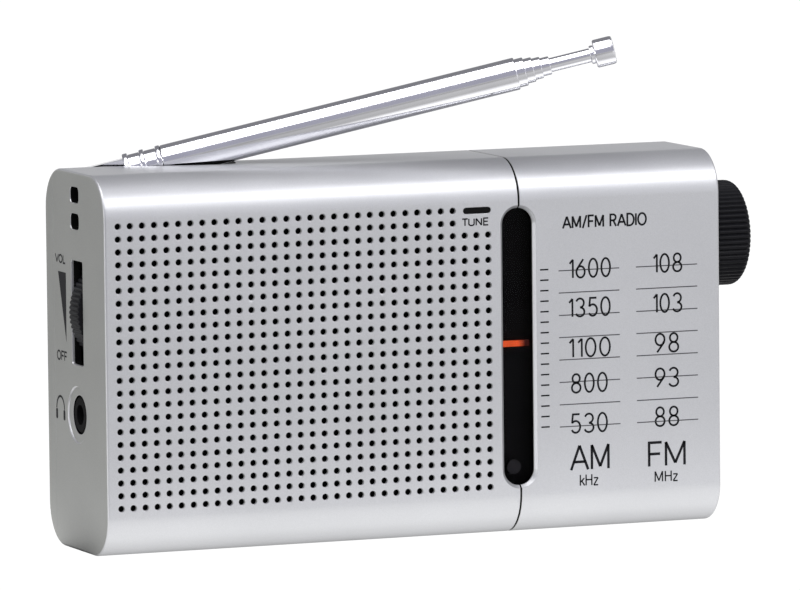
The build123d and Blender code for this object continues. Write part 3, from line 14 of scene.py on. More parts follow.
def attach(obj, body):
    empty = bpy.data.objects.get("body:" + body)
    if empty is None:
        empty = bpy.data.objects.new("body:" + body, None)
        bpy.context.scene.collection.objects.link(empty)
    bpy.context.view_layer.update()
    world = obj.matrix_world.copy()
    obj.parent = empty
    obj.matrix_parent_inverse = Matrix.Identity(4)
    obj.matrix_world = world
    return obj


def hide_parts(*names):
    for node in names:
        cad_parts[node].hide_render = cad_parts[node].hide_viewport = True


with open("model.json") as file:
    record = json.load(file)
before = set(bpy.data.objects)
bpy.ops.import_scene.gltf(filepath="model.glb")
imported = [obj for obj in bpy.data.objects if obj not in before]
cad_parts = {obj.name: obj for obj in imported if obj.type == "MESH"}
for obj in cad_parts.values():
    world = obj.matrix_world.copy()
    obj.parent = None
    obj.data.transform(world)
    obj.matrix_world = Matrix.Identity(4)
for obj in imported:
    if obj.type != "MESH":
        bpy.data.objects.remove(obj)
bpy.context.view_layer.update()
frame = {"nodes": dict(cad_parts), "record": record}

MM = 0.001
FULL_TURN = 2 * math.pi

# ---- the case's driving dimensions, as in the CAD part ----
CASE_WIDTH = 119.7
CASE_DEPTH = 31.0
CASE_HEIGHT = 68.5
CASE_CORNER = 7.6
CORNER_STEPS = 24
END_EDGE = 0.5
END_EDGE_STEPS = 6
WALL = 1.8
PAINT_DEPTH = 0.55
LEFT = -CASE_WIDTH / 2
RIGHT = CASE_WIDTH / 2
FRONT = -CASE_DEPTH / 2
BACK = CASE_DEPTH / 2
INNER_LEFT = LEFT + WALL
INNER_RIGHT = RIGHT - WALL
INNER_FRONT = FRONT + WALL
PARTING_Y = 11.2
SEAM_X = 20.15
SEAM_GROOVE = 0.3
SEAM_GROOVE_DEPTH = 0.5
SEAM_EDGE = 0.16
SEAM_SLACK = 0.01
# Just short of the wall's thickness, for telling faces inside an opening from the inner face.
IN_WALL = WALL - 0.05
REACH = 3.0
SMOOTH_ANGLE = math.radians(34)

# ---- openings; each shape is a width, height, corner radius, soft edge and steps per corner ----
HOLE_PITCH = 2.3
HOLE = (1.1, 1.1, 0.55, 0.2, 6)
HOLE_COLUMNS = 32
HOLE_ROWS = 23
FIRST_HOLE_X = -57.18
FIRST_HOLE_Z = 59.76
SKIPPED_COLUMNS = 3
SKIPPED_ROWS = 2
SLIT_X = 11.95
SLIT_Z = 59.65
SLIT = (5.4, 1.15, 0.575, 0.1, 8)
WINDOW_X = 20.0
WINDOW_LOW = 8.8
WINDOW_HIGH = 60.1
WINDOW_WIDTH = 6.6
WINDOW_Z = (WINDOW_LOW + WINDOW_HIGH) / 2
WINDOW_LENGTH = WINDOW_HIGH - WINDOW_LOW
WINDOW_EDGE = 0.55
WINDOW_LIP = 0.35
LENS_DEPTH = 0.9
OPENING_STEPS = 16
STRAP_HOLE = (4.5, 2.85, 0.9, 0.2, 6)
STRAP_HOLE_Y = 0.0
STRAP_HOLES_Z = (59.55, 64.35)
# The strap holes lie within this much of their middles, and are painted only this deep.
STRAP_HOLE_REACH = 2.4
STRAP_HOLE_PAINT = 0.22
VOLUME_SLOT_Y = -0.85
VOLUME_SLOT = (6.0, 18.8, 0.5, 0.2, 6)
JACK_Y = -0.3
JACK_Z = 24.65
JACK_HOLE_RADIUS = 3.55
JACK_DISH_RADIUS = 5.25
JACK_DISH_DEPTH = 0.4
KNOB_HOLE_RADIUS = 5.2

# ---- moving parts ----
TUNING_Z = 51.9
KNOB_RADIUS = 9.7
KNOB_INNER_X = 60.35
KNOB_OUTER_X = 69.15
KNOB_EDGE = 1.2
KNOB_RIBS = 60
KNOB_RIB_DEPTH = 0.36
KNOB_RECESS_RADIUS = 3.3
KNOB_RECESS_DEPTH = 3.85
KNOB_BACK_RIM = 1.6
KNOB_BACK_DEPTH = 3.75
KNOB_EDGE_STEPS = 8
KNOB_COLLAR = ((57.0, 4.5), (57.1, 4.6), (KNOB_INNER_X + 3.8, 4.6))
VOLUME_Z = 43.1
VOLUME_RADIUS = 10.45
VOLUME_PROUD = 0.75
VOLUME_X = LEFT - VOLUME_PROUD + VOLUME_RADIUS
VOLUME_FRONT = -3.3
VOLUME_BACK = 1.6
VOLUME_RIBS = 72
VOLUME_RIB_DEPTH = 0.26
VOLUME_RIM = 2.4
VOLUME_AXLE_RADIUS = 3.0
RIB_STEPS = 8
DIAL_BOSS_X = 20.1
DIAL_BOSS_Z = 12.2
# How far in front of the case's middle the boss ends.
DIAL_BOSS_REACH = 12.3
BOSS_FACE_RADIUS = 1.35
BOSS_FACE_SKIN = 0.03

# ---- telescopic antenna ----
PIVOT = (-52.5, 12.2, 65.8)
ANTENNA_AZIMUTH = math.radians(-20.5)
ANTENNA_ELEVATION = math.radians(13.3)
TUBE_CLEARANCE = 3.5
WELL_REACH = 30.0
WELL_TURN = math.radians(110)
WELL_RADIUS = 4.4
WELL_FLOOR = 61.0
WELL_HEADROOM = 9
WELL_AXIS_GAP = 0.05
WELL_STEPS = 22
# Along the antenna's heading, from behind the pivot to in front of it.
RISING_ROOM = (-4, 11)
CHANNEL_END = 48.0
# How far the channel reaches in front of the pivot.
CHANNEL_REACH = 3.3
FERRULE_RADIUS = 2.75
FERRULE_RINGS = ((6.8, 7.8), (9.9, 10.8), (12.9, 13.8))
RING_RADIUS = 3.1
BASE_EDGE = 0.2
TONGUE_RADIUS = 2.3
TONGUE_END = 7.6
TONGUE_THICKNESS = 3.3
TONGUE_STEPS = 24
TUBE_START = 13.8
TUBE_END = 79.8
TUBE_RADIUS = 3.0
TUBE_EDGE = 0.25
# Each inner section as its number, radius and how far from the pivot its end shows.
SECTIONS = ((2, 2.65, 81.4), (3, 2.3, 82.9), (4, 2.0, 84.4), (5, 1.7, 86.0))
SECTION_EDGE = 0.2
FIRST_SECTION_IN = 0.8
SECTION_IN = 0.6
ROD_END = 93.5
ROD_RADIUS = 1.3
ROD_EDGE = 0.15
# The tip's outline as distance from the pivot and radius.
TIP = ((93.4, 1.5), (93.55, 1.7), (94.1, 1.7), (94.2, 1.8), (94.2, 2.2), (94.27, 2.45), (94.5, 2.6),
       (97.4, 2.6), (97.75, 2.5), (97.9, 2.25))
LATHE_STEPS = 96

# ---- screw posts inside the front shells, as X and Z; the case's also say where each starts ----
CASE_POSTS = ((-54.5, 5.5, INNER_FRONT), (-55.2, 55.5, 3.0), (-7.0, 5.5, INNER_FRONT),
              (30.0, 57.0, INNER_FRONT), (55.4, 64.4, FRONT + CASE_CORNER))
BOARD_POSTS = ((-47.0, 6.3), (-45.5, 62.3), (3.0, 62.3), (5.0, 6.3), (32.0, 6.3), (33.5, 62.3))
BOARD_FRONT = -4.6
SPEAKER_X = -21.5
SPEAKER_Z = 34.5
SPEAKER_POST_STEP = 21.64
SPEAKER_POST_END = -11.4
SPEAKER_POST_RADIUS = 1.7
CASE_POST_RADIUS = 2.2
BOARD_POST_RADIUS = 2.0
POST_STEPS = 8

# ---- grille cloth, with a corner left out for the tuning lamp ----
CLOTH_BOX = (-58.0, 15.4, 8.0, 60.85)
CLOTH_CELLS = (92, 66)
CLOTH_GAP = 0.12
CLOTH_SAG = 0.02
LAMP_CORNER_X = 7.6
LAMP_CORNER_Z = 57.8

# ---- printed marks ----
INK_PROUD = 0.015
INK_SUNK = 0.01
# All printing on the front sits this much higher than the heights below.
PRINT_LIFT = 0.24
END_STROKE = 0.32
SIGN_STROKE = 0.42
# From the first X to the second, the pointer darkens to its painted shade.
POINTER_FADE = (20.9, 22.3)
DIGIT_WIDTH = 0.76
SHARPEST_MITRE = -0.3
LINE_STROKE = 0.2
TICK_STROKE = 0.28
# Each word or figure on the front with its left, right, bottom and top, and its stroke's width.
DIAL_WORDS = (
    ("1600", 29.85, 38.2, 46.1, 49.8, 0.37), ("1350", 29.7, 38.1, 39.0, 42.65, 0.37),
    ("1100", 29.7, 38.05, 31.6, 35.3, 0.37), ("800", 30.1, 37.4, 25.1, 28.85, 0.37),
    ("530", 30.0, 37.35, 17.75, 21.5, 0.37), ("108", 46.5, 52.4, 46.35, 50.0, 0.37),
    ("103", 46.45, 52.35, 39.0, 42.7, 0.37), ("98", 46.75, 51.65, 31.65, 35.4, 0.37),
    ("93", 46.7, 51.6, 25.3, 29.05, 0.37), ("88", 46.65, 51.55, 18.1, 21.9, 0.37),
    ("AM", 29.75, 37.65, 10.85, 15.8, 0.5), ("FM", 45.25, 52.8, 10.7, 15.55, 0.5),
    ("kHz", 31.67, 35.45, 8.05, 10.3, 0.26), ("MHz", 46.55, 51.28, 7.95, 10.1, 0.26),
    ("TUNE", 8.9, 14.25, 56.6, 58.1, 0.26), ("AM/FM RADIO", 28.6, 45.4, 55.2, 57.7, 0.36))
LINES_X = ((27.85, 39.85), (43.15, 55.35))
LINES_Z = (47.7, 43.65, 39.55, 35.5, 31.4, 27.3, 23.2, 19.15)
TICK_X = (24.2, 25.85)
TICKS = 16
FIRST_TICK_Z = 48.05
TICK_PITCH = 1.916

# On the left end, the first two numbers of a box are from back to front.
END_WORDS = (("VOL", -10.4, -4.9, 51.4, 53.1), ("OFF", -10.1, -4.7, 33.7, 35.6))
VOLUME_WEDGE = ((-8.91, 49.9), (-4.8, 49.9), (-4.95, 37.44))
SIGN_Y = -8.55
SIGN_Z = 24.9
SIGN_BAND = (2.05, 2.3)
SIGN_CUP = (0.95, 1.9, 0.4, 4)
CUP_STEP = 1.95
CUP_DROP = 1.0


def grey(value):
    """An even grey."""
    return (value, value, value)


# ---- looks ----
# Noise values run mostly between these two.
NOISE_LOW = 0.3
NOISE_HIGH = 0.7
PATCHES_PER_METRE = 60.0
ROUGHNESS_SPREAD = 0.05
GRAIN_STRENGTH = 0.5
COAT_ROUGHNESS = 0.08
SIDE_SILVER = ((0.545, 0.55, 0.565), (0.575, 0.58, 0.595))
# The end faces' silver is darker than the sides' as painted shade.
END_SHADED_SILVER = ((0.33, 0.335, 0.32), (0.37, 0.375, 0.36))
CHROME = ((0.86, 0.86, 0.90), (0.92, 0.92, 0.95))
SMOKE = ((0.80, 0.79, 0.82), (0.86, 0.85, 0.87))
SMOKE_GLOSS = (0.12, 0.12, 0.13)
POINTER_ORANGE = ((0.80, 0.085, 0.012), (0.90, 0.11, 0.018))
# The dark red of the pointer's painted shade at its right end, and the strength of its painted glow.
POINTER_SHADE = (0.05, 0.006, 0.004)
POINTER_PAINTED_GLOW = 0.9
# Plain finishes by slot: dark and light colour, metallic, roughness, grain in features per metre,
# relief and soft edge in millimetres, and a clear coat where there is one.
PLAIN_FINISHES = {
    "white_plastic": ((0.62, 0.61, 0.56), (0.70, 0.69, 0.64), 0.0, 0.45, 2500.0, 0.01, 0.12),
    "zinc_steel": ((0.48, 0.48, 0.47), (0.58, 0.58, 0.57), 0.9, 0.35, 5000.0, 0.01, 0.08),
    "nickel_contact": ((0.60, 0.57, 0.52), (0.68, 0.66, 0.60), 0.95, 0.28, 3000.0, 0.006, 0.05),
    "board_green": ((0.01, 0.10, 0.05), (0.015, 0.15, 0.07), 0.0, 0.35, 1500.0, 0.01, 0.05, 0.3),
    "black_resin": (grey(0.012), grey(0.02), 0.0, 0.55, 4000.0, 0.01, 0.1),
    "can_sleeve": ((0.02, 0.03, 0.16), (0.03, 0.05, 0.22), 0.1, 0.3, 2000.0, 0.005, 0.15),
    "ceramic_yellow": ((0.55, 0.27, 0.06), (0.66, 0.34, 0.09), 0.0, 0.4, 2500.0, 0.02, 0.2),
    "ferrite": (grey(0.02), grey(0.035), 0.1, 0.5, 5000.0, 0.01, 0.1),
    "copper_wire": ((0.42, 0.12, 0.04), (0.55, 0.18, 0.06), 0.8, 0.3, 6000.0, 0.01, 0.05),
    "cone_paper": (grey(0.01), grey(0.018), 0.0, 0.9, 2500.0, 0.03),
    "foam_gasket": (grey(0.02), grey(0.03), 0.0, 0.95, 1800.0, 0.06, 0.1),
    "magnet_ferrite": (grey(0.04), grey(0.06), 0.1, 0.6, 3000.0, 0.02, 0.2),
    "cord_nylon": ((0.50, 0.47, 0.38), (0.62, 0.60, 0.50), 0.0, 0.8, 7000.0, 0.03),
    "cell_wrap": ((0.05, 0.06, 0.08), (0.08, 0.09, 0.11), 0.6, 0.25, 900.0, 0.004, 0.1, 0.4),
    "lead_red": ((0.35, 0.015, 0.012), (0.45, 0.025, 0.02), 0.0, 0.4, 2500.0, 0.01),
}

# ---- light, in metres and watts ----
# The floor's light by the distance in front of or behind the radio's middle.
FLOOR_RAMP = ((0.007, 0.1), (0.014, 1.45), (0.045, 1.3), (0.09, 0.55), (0.25, 0.75), (0.6, 0.68))
# The floor far in front and behind is dimmer to the left: its light, and where that starts and ends.
FLOOR_FAR = (0.045, 0.09)
FLOOR_LEFT_LIGHT = 0.5
FLOOR_LEFTWARDS = (-0.16, 0.04)
FLOOR_SEEN = 1.05
# The floor's half width and how far it lies under the radio are in millimetres.
FLOOR_REACH = 8000.0
FLOOR_GAP = 0.2
SKY_SEEN = 1.3
SKY_LIGHT = 0.85
ROOM_GREY = (0.44, 0.44, 0.52)
# The sky behind goes from white at the first height to grey at the second.
SKY_HEIGHTS = (0.18, 0.40)
SKY_GREY = (0.26, 0.26, 0.28)
SKY_FRONT_TO_BACK = (-0.5, 0.3)
# Each light as its name, place, target, size and power.
LIGHTS = (("key", (0.80, -1.05, 1.15), (0, 0, 0.04), (1.2, 0.6), 12.5),
          ("side", (-1.5, -0.52, 0.14), (0, 0, 0.04), (0.6, 0.4), 4.0),
          ("overhead", (-0.48, -0.45, 1.40), (0, 0, 0.06), (1.1, 1.6), 17.5),
          ("fill", (0.9, -1.5, 0.3), (0, 0, 0.04), (1.0, 1.0), 2.5))

# ---- camera, in the object's frame ----
CAMERA_PLACE = (-597.5, -1495.3, 207.0)
CAMERA_AZIMUTH = math.radians(-21.88)
CAMERA_ELEVATION = math.radians(5.80)
CAMERA_ROLL = math.radians(-0.6)
CAMERA_LENS = 400.0
SENSOR_WIDTH = 36.0
NEAREST_SEEN = 0.05
FARTHEST_SEEN = 30.0


# ---- mesh helpers ----
def bare_object(name, points, faces):
    """A mesh object in the scene, from points in millimetres."""
    mesh = bpy.data.meshes.new(name)
    mesh.from_pydata([Vector(point) * MM for point in points], [], faces)
    thing = bpy.data.objects.new(name, mesh)
    bpy.context.scene.collection.objects.link(thing)
    return thing


def new_piece(name, solid, material, body="case", replaced=()):
    """A closed solid that rides on a body, takes a slot's finish and may stand for CAD nodes."""
    piece = bare_object(name, *solid)
    tidy_normals(piece)
    piece.data.materials.append(material)
    finish_piece(piece, body, replaced)


def finish_piece(piece, body, replaced=()):
    """Shades a piece smooth but for its real edges, and ties it to the frame."""
    shade(piece)
    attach(piece, body)
    if replaced:
        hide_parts(*replaced)


def tidy_normals(piece):
    """Turns every face outwards."""
    work = bmesh.new()
    work.from_mesh(piece.data)
    bmesh.ops.recalc_face_normals(work, faces=work.faces)
    work.to_mesh(piece.data)
    work.free()


def shade(piece):
    """Smooth shading with sharp edges kept, and flat faces kept flat beside round ones."""
    piece.data.shade_smooth()
    piece.data.set_sharp_from_angle(angle=SMOOTH_ANGLE)
    weighted = piece.modifiers.new("flat faces", "WEIGHTED_NORMAL")
    weighted.keep_sharp = True


def loft(rings):
    """Points and faces of a closed solid through loops of equal length."""
    count = len(rings[0])
    points = [point for ring in rings for point in ring]
    faces = [tuple(range(count)), tuple(range(len(points) - count, len(points)))]
    for level in range(len(rings) - 1):
        start = level * count
        for step in range(count):
            here = start + step
            beside = start + (step + 1) % count
            faces.append((here, beside, beside + count, here + count))
    return points, faces


def joined(solids):
    """One list of points and one of faces from several (points, faces) pairs."""
    points = []
    faces = []
    for solid_points, solid_faces in solids:
        offset = len(points)
        points.extend(solid_points)
        faces.extend(tuple(index + offset for index in face) for face in solid_faces)
    return points, faces


def rounded_outline(width, height, radius, steps):
    """A rounded rectangle's outline round the origin; with full radii it is a circle or a slot."""
    outline = []
    for quarter, (side, rise) in enumerate(((1, 1), (-1, 1), (-1, -1), (1, -1))):
        for step in range(steps + 1):
            angle = (quarter + step / steps) * math.pi / 2
            u = side * (width / 2 - radius) + radius * math.cos(angle)
            v = rise * (height / 2 - radius) + radius * math.sin(angle)
            outline.append((u, v))
    return outline


def circle(radius, steps):
    """A circle's outline round the origin."""
    return rounded_outline(2 * radius, 2 * radius, radius, steps)


def arc(centre_x, centre_y, radius_x, radius_y, first, last, steps=14):
    """Points along an ellipse's arc between two angles in degrees."""
    points = []
    for step in range(steps + 1):
        angle = math.radians(first + (last - first) * step / steps)
        points.append((centre_x + radius_x * math.cos(angle), centre_y + radius_y * math.sin(angle)))
    return points


def block(x_low, x_high, y_low, y_high, z_low, z_high):
    """A box between two corners."""
    corners = ((y_low, z_low), (y_high, z_low), (y_high, z_high), (y_low, z_high))
    return loft([[(x, y, z) for y, z in corners] for x in (x_low, x_high)])


def cutter_rings(width, height, radius, edge, steps):
    """The loops of a straight opening with a softly rounded outer edge, each with its depth in the wall."""
    levels = ((-REACH, edge), (0.0, edge), (edge * 0.3, edge * 0.35), (edge, 0.0), (PAINT_DEPTH, 0.0),
              (WALL + 1.0, 0.0))
    return [(depth, rounded_outline(width + 2 * grow, height + 2 * grow, radius + grow, steps))
            for depth, grow in levels]


def cut_front(x, z, *opening):
    """A cutter that faces the front, for an opening given as its width, height, radius, edge and steps."""
    return loft([[(x + u, FRONT + depth, z + v) for u, v in ring] for depth, ring in cutter_rings(*opening)])


def cut_left(y, z, *opening):
    """A cutter that faces the left end."""
    return loft([[(LEFT + depth, y + u, z + v) for u, v in ring] for depth, ring in cutter_rings(*opening)])


def subtract(piece, solids):
    """Cuts one set of closed solids, which don't touch each other, out of a piece."""
    cutter = bare_object("cutter", *joined(solids))
    tidy_normals(cutter)
    cut = piece.modifiers.new("cut", "BOOLEAN")
    cut.operation = "DIFFERENCE"
    cut.solver = "MANIFOLD"
    cut.object = cutter
    bpy.context.view_layer.update()
    evaluated = piece.evaluated_get(bpy.context.evaluated_depsgraph_get())
    result = bpy.data.meshes.new_from_object(evaluated)
    piece.modifiers.remove(cut)
    bpy.data.objects.remove(cutter)
    result.name = piece.name
    piece.data = result


def slab(outline, depth, place, edge):
    """A plate of a convex outline with softly broken edges, in its own plane, then put in place."""
    centre_u = sum(u for u, _ in outline) / len(outline)
    centre_v = sum(v for _, v in outline) / len(outline)
    reach = max(math.hypot(u - centre_u, v - centre_v) for u, v in outline)
    rings = []
    for height, inset in ((0, edge), (edge * 0.3, edge * 0.3), (edge, 0), (depth - edge, 0),
                          (depth - edge * 0.3, edge * 0.3), (depth, edge)):
        scale = 1 - inset / reach
        shrunk = [(centre_u + (u - centre_u) * scale, centre_v + (v - centre_v) * scale) for u, v in outline]
        rings.append([place @ Vector((u, v, height)) for u, v in shrunk])
    return loft(rings)


# ---- materials ----
def node_with(tree, kind, inputs):
    """A new node, with its inputs filled by name from other nodes or with plain values."""
    node = tree.nodes.new("ShaderNode" + kind)
    for name, value in inputs.items():
        if isinstance(value, bpy.types.NodeSocket):
            tree.links.new(value, node.inputs[name])
        else:
            node.inputs[name].default_value = value
    return node


def new_tree(name):
    """A new material and its emptied node tree."""
    material = bpy.data.materials.new(name)
    material.use_nodes = True
    material.node_tree.nodes.clear()
    return material, material.node_tree


def finished(material, shader):
    """The material once its shader is its surface."""
    node_with(material.node_tree, "OutputMaterial", {"Surface": shader.outputs[0]})
    return material


def coordinates(tree, kind):
    """Where a point is on the object ("Object") or which way it looks ("Normal")."""
    return tree.nodes.new("ShaderNodeTexCoord").outputs[kind]


def along(tree, vector, axis):
    """One part of a vector."""
    return node_with(tree, "SeparateXYZ", {"Vector": vector}).outputs[axis]


def size_of(tree, value):
    """A value without its sign."""
    node = node_with(tree, "Math", {0: value})
    node.operation = "ABSOLUTE"
    return node.outputs["Value"]


def noise(tree, scale, detail=3.0, stretch=(1, 1, 1)):
    """Noise in the object's own space; scale is in features per metre."""
    mapping = node_with(tree, "Mapping", {"Vector": coordinates(tree, "Object"), "Scale": stretch})
    place = mapping.outputs["Vector"]
    return node_with(tree, "TexNoise", {"Vector": place, "Scale": scale, "Detail": detail}).outputs["Fac"]


def spread(tree, value, low, high, from_low=NOISE_LOW, from_high=NOISE_HIGH):
    """Maps a value to a range."""
    return node_with(tree, "MapRange", {"Value": value, "From Min": from_low, "From Max": from_high,
                                        "To Min": low, "To Max": high}).outputs["Result"]


def tint(tree, value, dark, light, positions=(NOISE_LOW, NOISE_HIGH)):
    """A colour that goes from the first to the second between two values."""
    ramp = node_with(tree, "ValToRGB", {"Fac": value})
    for stop, position, colour in zip(ramp.color_ramp.elements, positions, (dark, light)):
        stop.position = position
        stop.color = (*colour, 1)
    return ramp.outputs["Color"]


def mixed(tree, kind, share, first, second):
    """Two colours or values put together by a share."""
    mix = tree.nodes.new("ShaderNodeMix")
    mix.data_type = "RGBA"
    mix.blend_type = kind
    if isinstance(share, float):
        mix.inputs["Factor"].default_value = share
    else:
        tree.links.new(share, mix.inputs["Factor"])
    tree.links.new(first, mix.inputs["A"])
    tree.links.new(second, mix.inputs["B"])
    return mix.outputs["Result"]


def shade_of(tree, colour):
    """A node that gives one colour."""
    node = tree.nodes.new("ShaderNodeRGB")
    node.outputs["Color"].default_value = (*colour, 1)
    return node.outputs["Color"]


def broken_edges(tree, radius):
    """A normal that rounds sharp edges by a small radius, in millimetres."""
    bevel = node_with(tree, "Bevel", {"Radius": radius * MM})
    bevel.samples = 4
    return bevel.outputs["Normal"]


def bumped(tree, height, strength, distance, normal=None):
    """A bump of a given depth in millimetres."""
    inputs = {"Height": height, "Strength": strength, "Distance": distance * MM}
    if normal is not None:
        inputs["Normal"] = normal
    return node_with(tree, "Bump", inputs).outputs["Normal"]


def surface(name, dark, light, metallic, roughness, grain, depth, edge=0.0, coat=0.0, shine=0.5):
    """A solid finish: patchy colour, fine grain in its colour, roughness and relief, and soft edges."""
    material, tree = new_tree(name)
    patches = noise(tree, PATCHES_PER_METRE, 2.0)
    fine = noise(tree, grain, 2.0)
    speckle = tint(tree, fine, grey(0.88), grey(1.0))
    normal = broken_edges(tree, edge) if edge > 0 else None
    return finished(material, node_with(tree, "BsdfPrincipled", {
        "Base Color": mixed(tree, "MULTIPLY", 1.0, tint(tree, patches, dark, light), speckle),
        "Roughness": spread(tree, fine, roughness - ROUGHNESS_SPREAD, roughness + ROUGHNESS_SPREAD),
        "Metallic": metallic,
        "Specular IOR Level": shine,
        "Coat Weight": coat,
        "Coat Roughness": COAT_ROUGHNESS,
        "Normal": bumped(tree, fine, GRAIN_STRENGTH, depth, normal)}))


def silver_paint(name, edge):
    """Satin silver paint: aluminium flake grain, faint orange peel, and flatter end faces painted a darker
    grey as painted shade.
    """
    material, tree = new_tree(name)
    flake = noise(tree, 9000.0, 1.0)
    cloud = noise(tree, 45.0, 3.0)
    peel = noise(tree, 900.0, 2.0)
    # Mask of the end faces: they get a flatter finish, and a darker colour as painted shade.
    ends = spread(tree, size_of(tree, along(tree, coordinates(tree, "Normal"), "X")), 0.0, 1.0, 0.75, 0.95)
    flakes = tint(tree, flake, grey(0.9), grey(1.0))
    colour = mixed(tree, "MIX", ends, tint(tree, cloud, *SIDE_SILVER), tint(tree, cloud, *END_SHADED_SILVER))
    satin = spread(tree, cloud, 0.38, 0.43)
    flat = spread(tree, cloud, 0.48, 0.53)
    normal = broken_edges(tree, edge) if edge > 0 else None
    return finished(material, node_with(tree, "BsdfPrincipled", {
        "Base Color": mixed(tree, "MULTIPLY", 1.0, colour, flakes),
        "Metallic": spread(tree, ends, 0.7, 0.45, 0.0, 1.0),
        "Roughness": mixed(tree, "MIX", ends, satin, flat),
        "Normal": bumped(tree, flake, 0.25, 0.004, bumped(tree, peel, 0.15, 0.01, normal))}))


def chrome():
    """Polished chrome with faint handling marks along the tubes."""
    material, tree = new_tree("antenna_chrome")
    smudge = noise(tree, 120.0, 3.0)
    scratches = noise(tree, 2500.0, 2.0, (0.05, 1, 1))
    return finished(material, node_with(tree, "BsdfPrincipled", {
        "Base Color": tint(tree, smudge, *CHROME),
        "Metallic": 1.0,
        "Roughness": spread(tree, smudge, 0.09, 0.15),
        "Normal": bumped(tree, scratches, 0.2, 0.002)}))


def smoked_window():
    """Clear, lightly smoked acrylic: a glossy face over a tinted see-through body."""
    material, tree = new_tree("window_clear")
    dust = noise(tree, 700.0, 3.0)
    through = node_with(tree, "BsdfTransparent", {"Color": tint(tree, dust, *SMOKE)})
    gloss = node_with(tree, "BsdfGlossy", {"Color": (*SMOKE_GLOSS, 1),
                                           "Roughness": spread(tree, dust, 0.02, 0.06)})
    fresnel = node_with(tree, "Fresnel", {"IOR": 1.35})
    return finished(material, node_with(tree, "MixShader", {
        0: fresnel.outputs["Fac"], 1: through.outputs["BSDF"], 2: gloss.outputs["BSDF"]}))


def woven(name, dark, light):
    """Thin woven cloth: two crossing thread directions in colour and relief."""
    material, tree = new_tree(name)
    threads = {}
    place = coordinates(tree, "Object")
    for side, direction in enumerate(("X", "Z")):
        wave = node_with(tree, "TexWave", {"Vector": place, "Scale": 900.0, "Distortion": 0.6})
        wave.bands_direction = direction
        threads[side] = wave.outputs["Fac"]
    weave = node_with(tree, "Math", threads)
    weave.operation = "MAXIMUM"
    return finished(material, node_with(tree, "BsdfPrincipled", {
        "Base Color": tint(tree, weave.outputs["Value"], dark, light),
        "Roughness": 0.95,
        "Normal": bumped(tree, weave.outputs["Value"], 0.8, 0.05)}))


def ink(name, colour):
    """Printed ink with a slightly uneven lay."""
    dark = tuple(channel * 0.8 for channel in colour)
    return surface(name, dark, colour, 0.0, 0.5, 6000.0, 0.002, shine=0.1)


def pointer_paint():
    """Orange paint with a painted glow, darkening to dark red as painted shade at the pointer's right end."""
    material, tree = new_tree("pointer_orange")
    grain = noise(tree, 4000.0, 2.0)
    fade = [end * MM for end in POINTER_FADE]
    # Painted shade: the pointer's right end darkens to dark red.
    shaded_end = spread(tree, along(tree, coordinates(tree, "Object"), "X"), 0.0, 1.0, *fade)
    colour = mixed(tree, "MIX", shaded_end, tint(tree, grain, *POINTER_ORANGE), shade_of(tree, POINTER_SHADE))
    return finished(material, node_with(tree, "BsdfPrincipled", {
        "Base Color": colour,
        # Painted glow: the pointer gives off its own colour though it is no lamp.
        "Emission Color": colour,
        "Emission Strength": POINTER_PAINTED_GLOW,
        "Roughness": spread(tree, grain, 0.35, 0.45),
        "Normal": bumped(tree, grain, 0.5, 0.004, broken_edges(tree, 0.06))}))


PAINT = silver_paint("case_silver", 0.0)
MOULDING = surface("inner_black", grey(0.004), grey(0.007), 0.0, 0.6, 3000.0, 0.01, 0.1, shine=0.05)
# A lighter grey than the black moulding, laid as a thin skin on the dial boss's face.
BOSS_GREY = surface("boss_grey", grey(0.030), grey(0.045), 0.0, 0.5, 3000.0, 0.01, shine=0.3)
KNOB_BLACK = surface("knob_black", (0.005, 0.005, 0.007), (0.008, 0.008, 0.010), 0.0, 0.42, 4000.0, 0.006,
                     0.08, shine=0.10)
DARK_INK = ink("dark_ink", (0.012, 0.012, 0.014))
LINE_INK = ink("line_ink", (0.10, 0.10, 0.105))
FINISHES = {slot: surface(slot, *finish) for slot, finish in PLAIN_FINISHES.items()}
FINISHES["case_paint"] = silver_paint("case_silver_cad", 0.25)
FINISHES["knob_black"] = KNOB_BLACK
FINISHES["inner_black"] = MOULDING
FINISHES["window_clear"] = smoked_window()
FINISHES["pointer_orange"] = pointer_paint()
FINISHES["antenna_chrome"] = chrome()
FINISHES["cloth_black"] = woven("cloth_black", grey(0.004), (0.016, 0.016, 0.017))


def dress_nodes():
    """Gives every CAD node the finish of its material slot."""
    for entry in frame["record"]["subparts"]:
        node = frame["nodes"][entry["node"]]
        node.data.materials.clear()
        node.data.materials.append(FINISHES[entry["material_slot"]])


# ---- the two front shells ----
def case_ring(x, inset):
    """One loop of the case's rounded section, drawn in by inset."""
    outline = rounded_outline(CASE_DEPTH - 2 * inset, CASE_HEIGHT - 2 * inset, CASE_CORNER - inset,
                              CORNER_STEPS)
    return [(x, u, CASE_HEIGHT / 2 + v) for u, v in outline]


def shell(end_x, inwards):
    """A cup from one end face to the seam, with a rounded end edge and half the seam's groove."""
    rings = []
    for step in range(END_EDGE_STEPS + 1):
        angle = step / END_EDGE_STEPS * math.pi / 2
        rings.append(case_ring(end_x + inwards * END_EDGE * (1 - math.cos(angle)),
                               END_EDGE * (1 - math.sin(angle))))
    groove_x = SEAM_X - inwards * SEAM_GROOVE / 2
    for back_off, inset in ((SEAM_EDGE, 0.0), (SEAM_EDGE * 0.3, SEAM_EDGE * 0.3), (0.0, SEAM_EDGE),
                            (0.0, SEAM_GROOVE_DEPTH)):
        rings.append(case_ring(groove_x - inwards * back_off, inset))
    rings.append(case_ring(SEAM_X, SEAM_GROOVE_DEPTH))
    rings.append(case_ring(SEAM_X, WALL))
    rings.append(case_ring(end_x + inwards * WALL, WALL))
    return loft(rings)


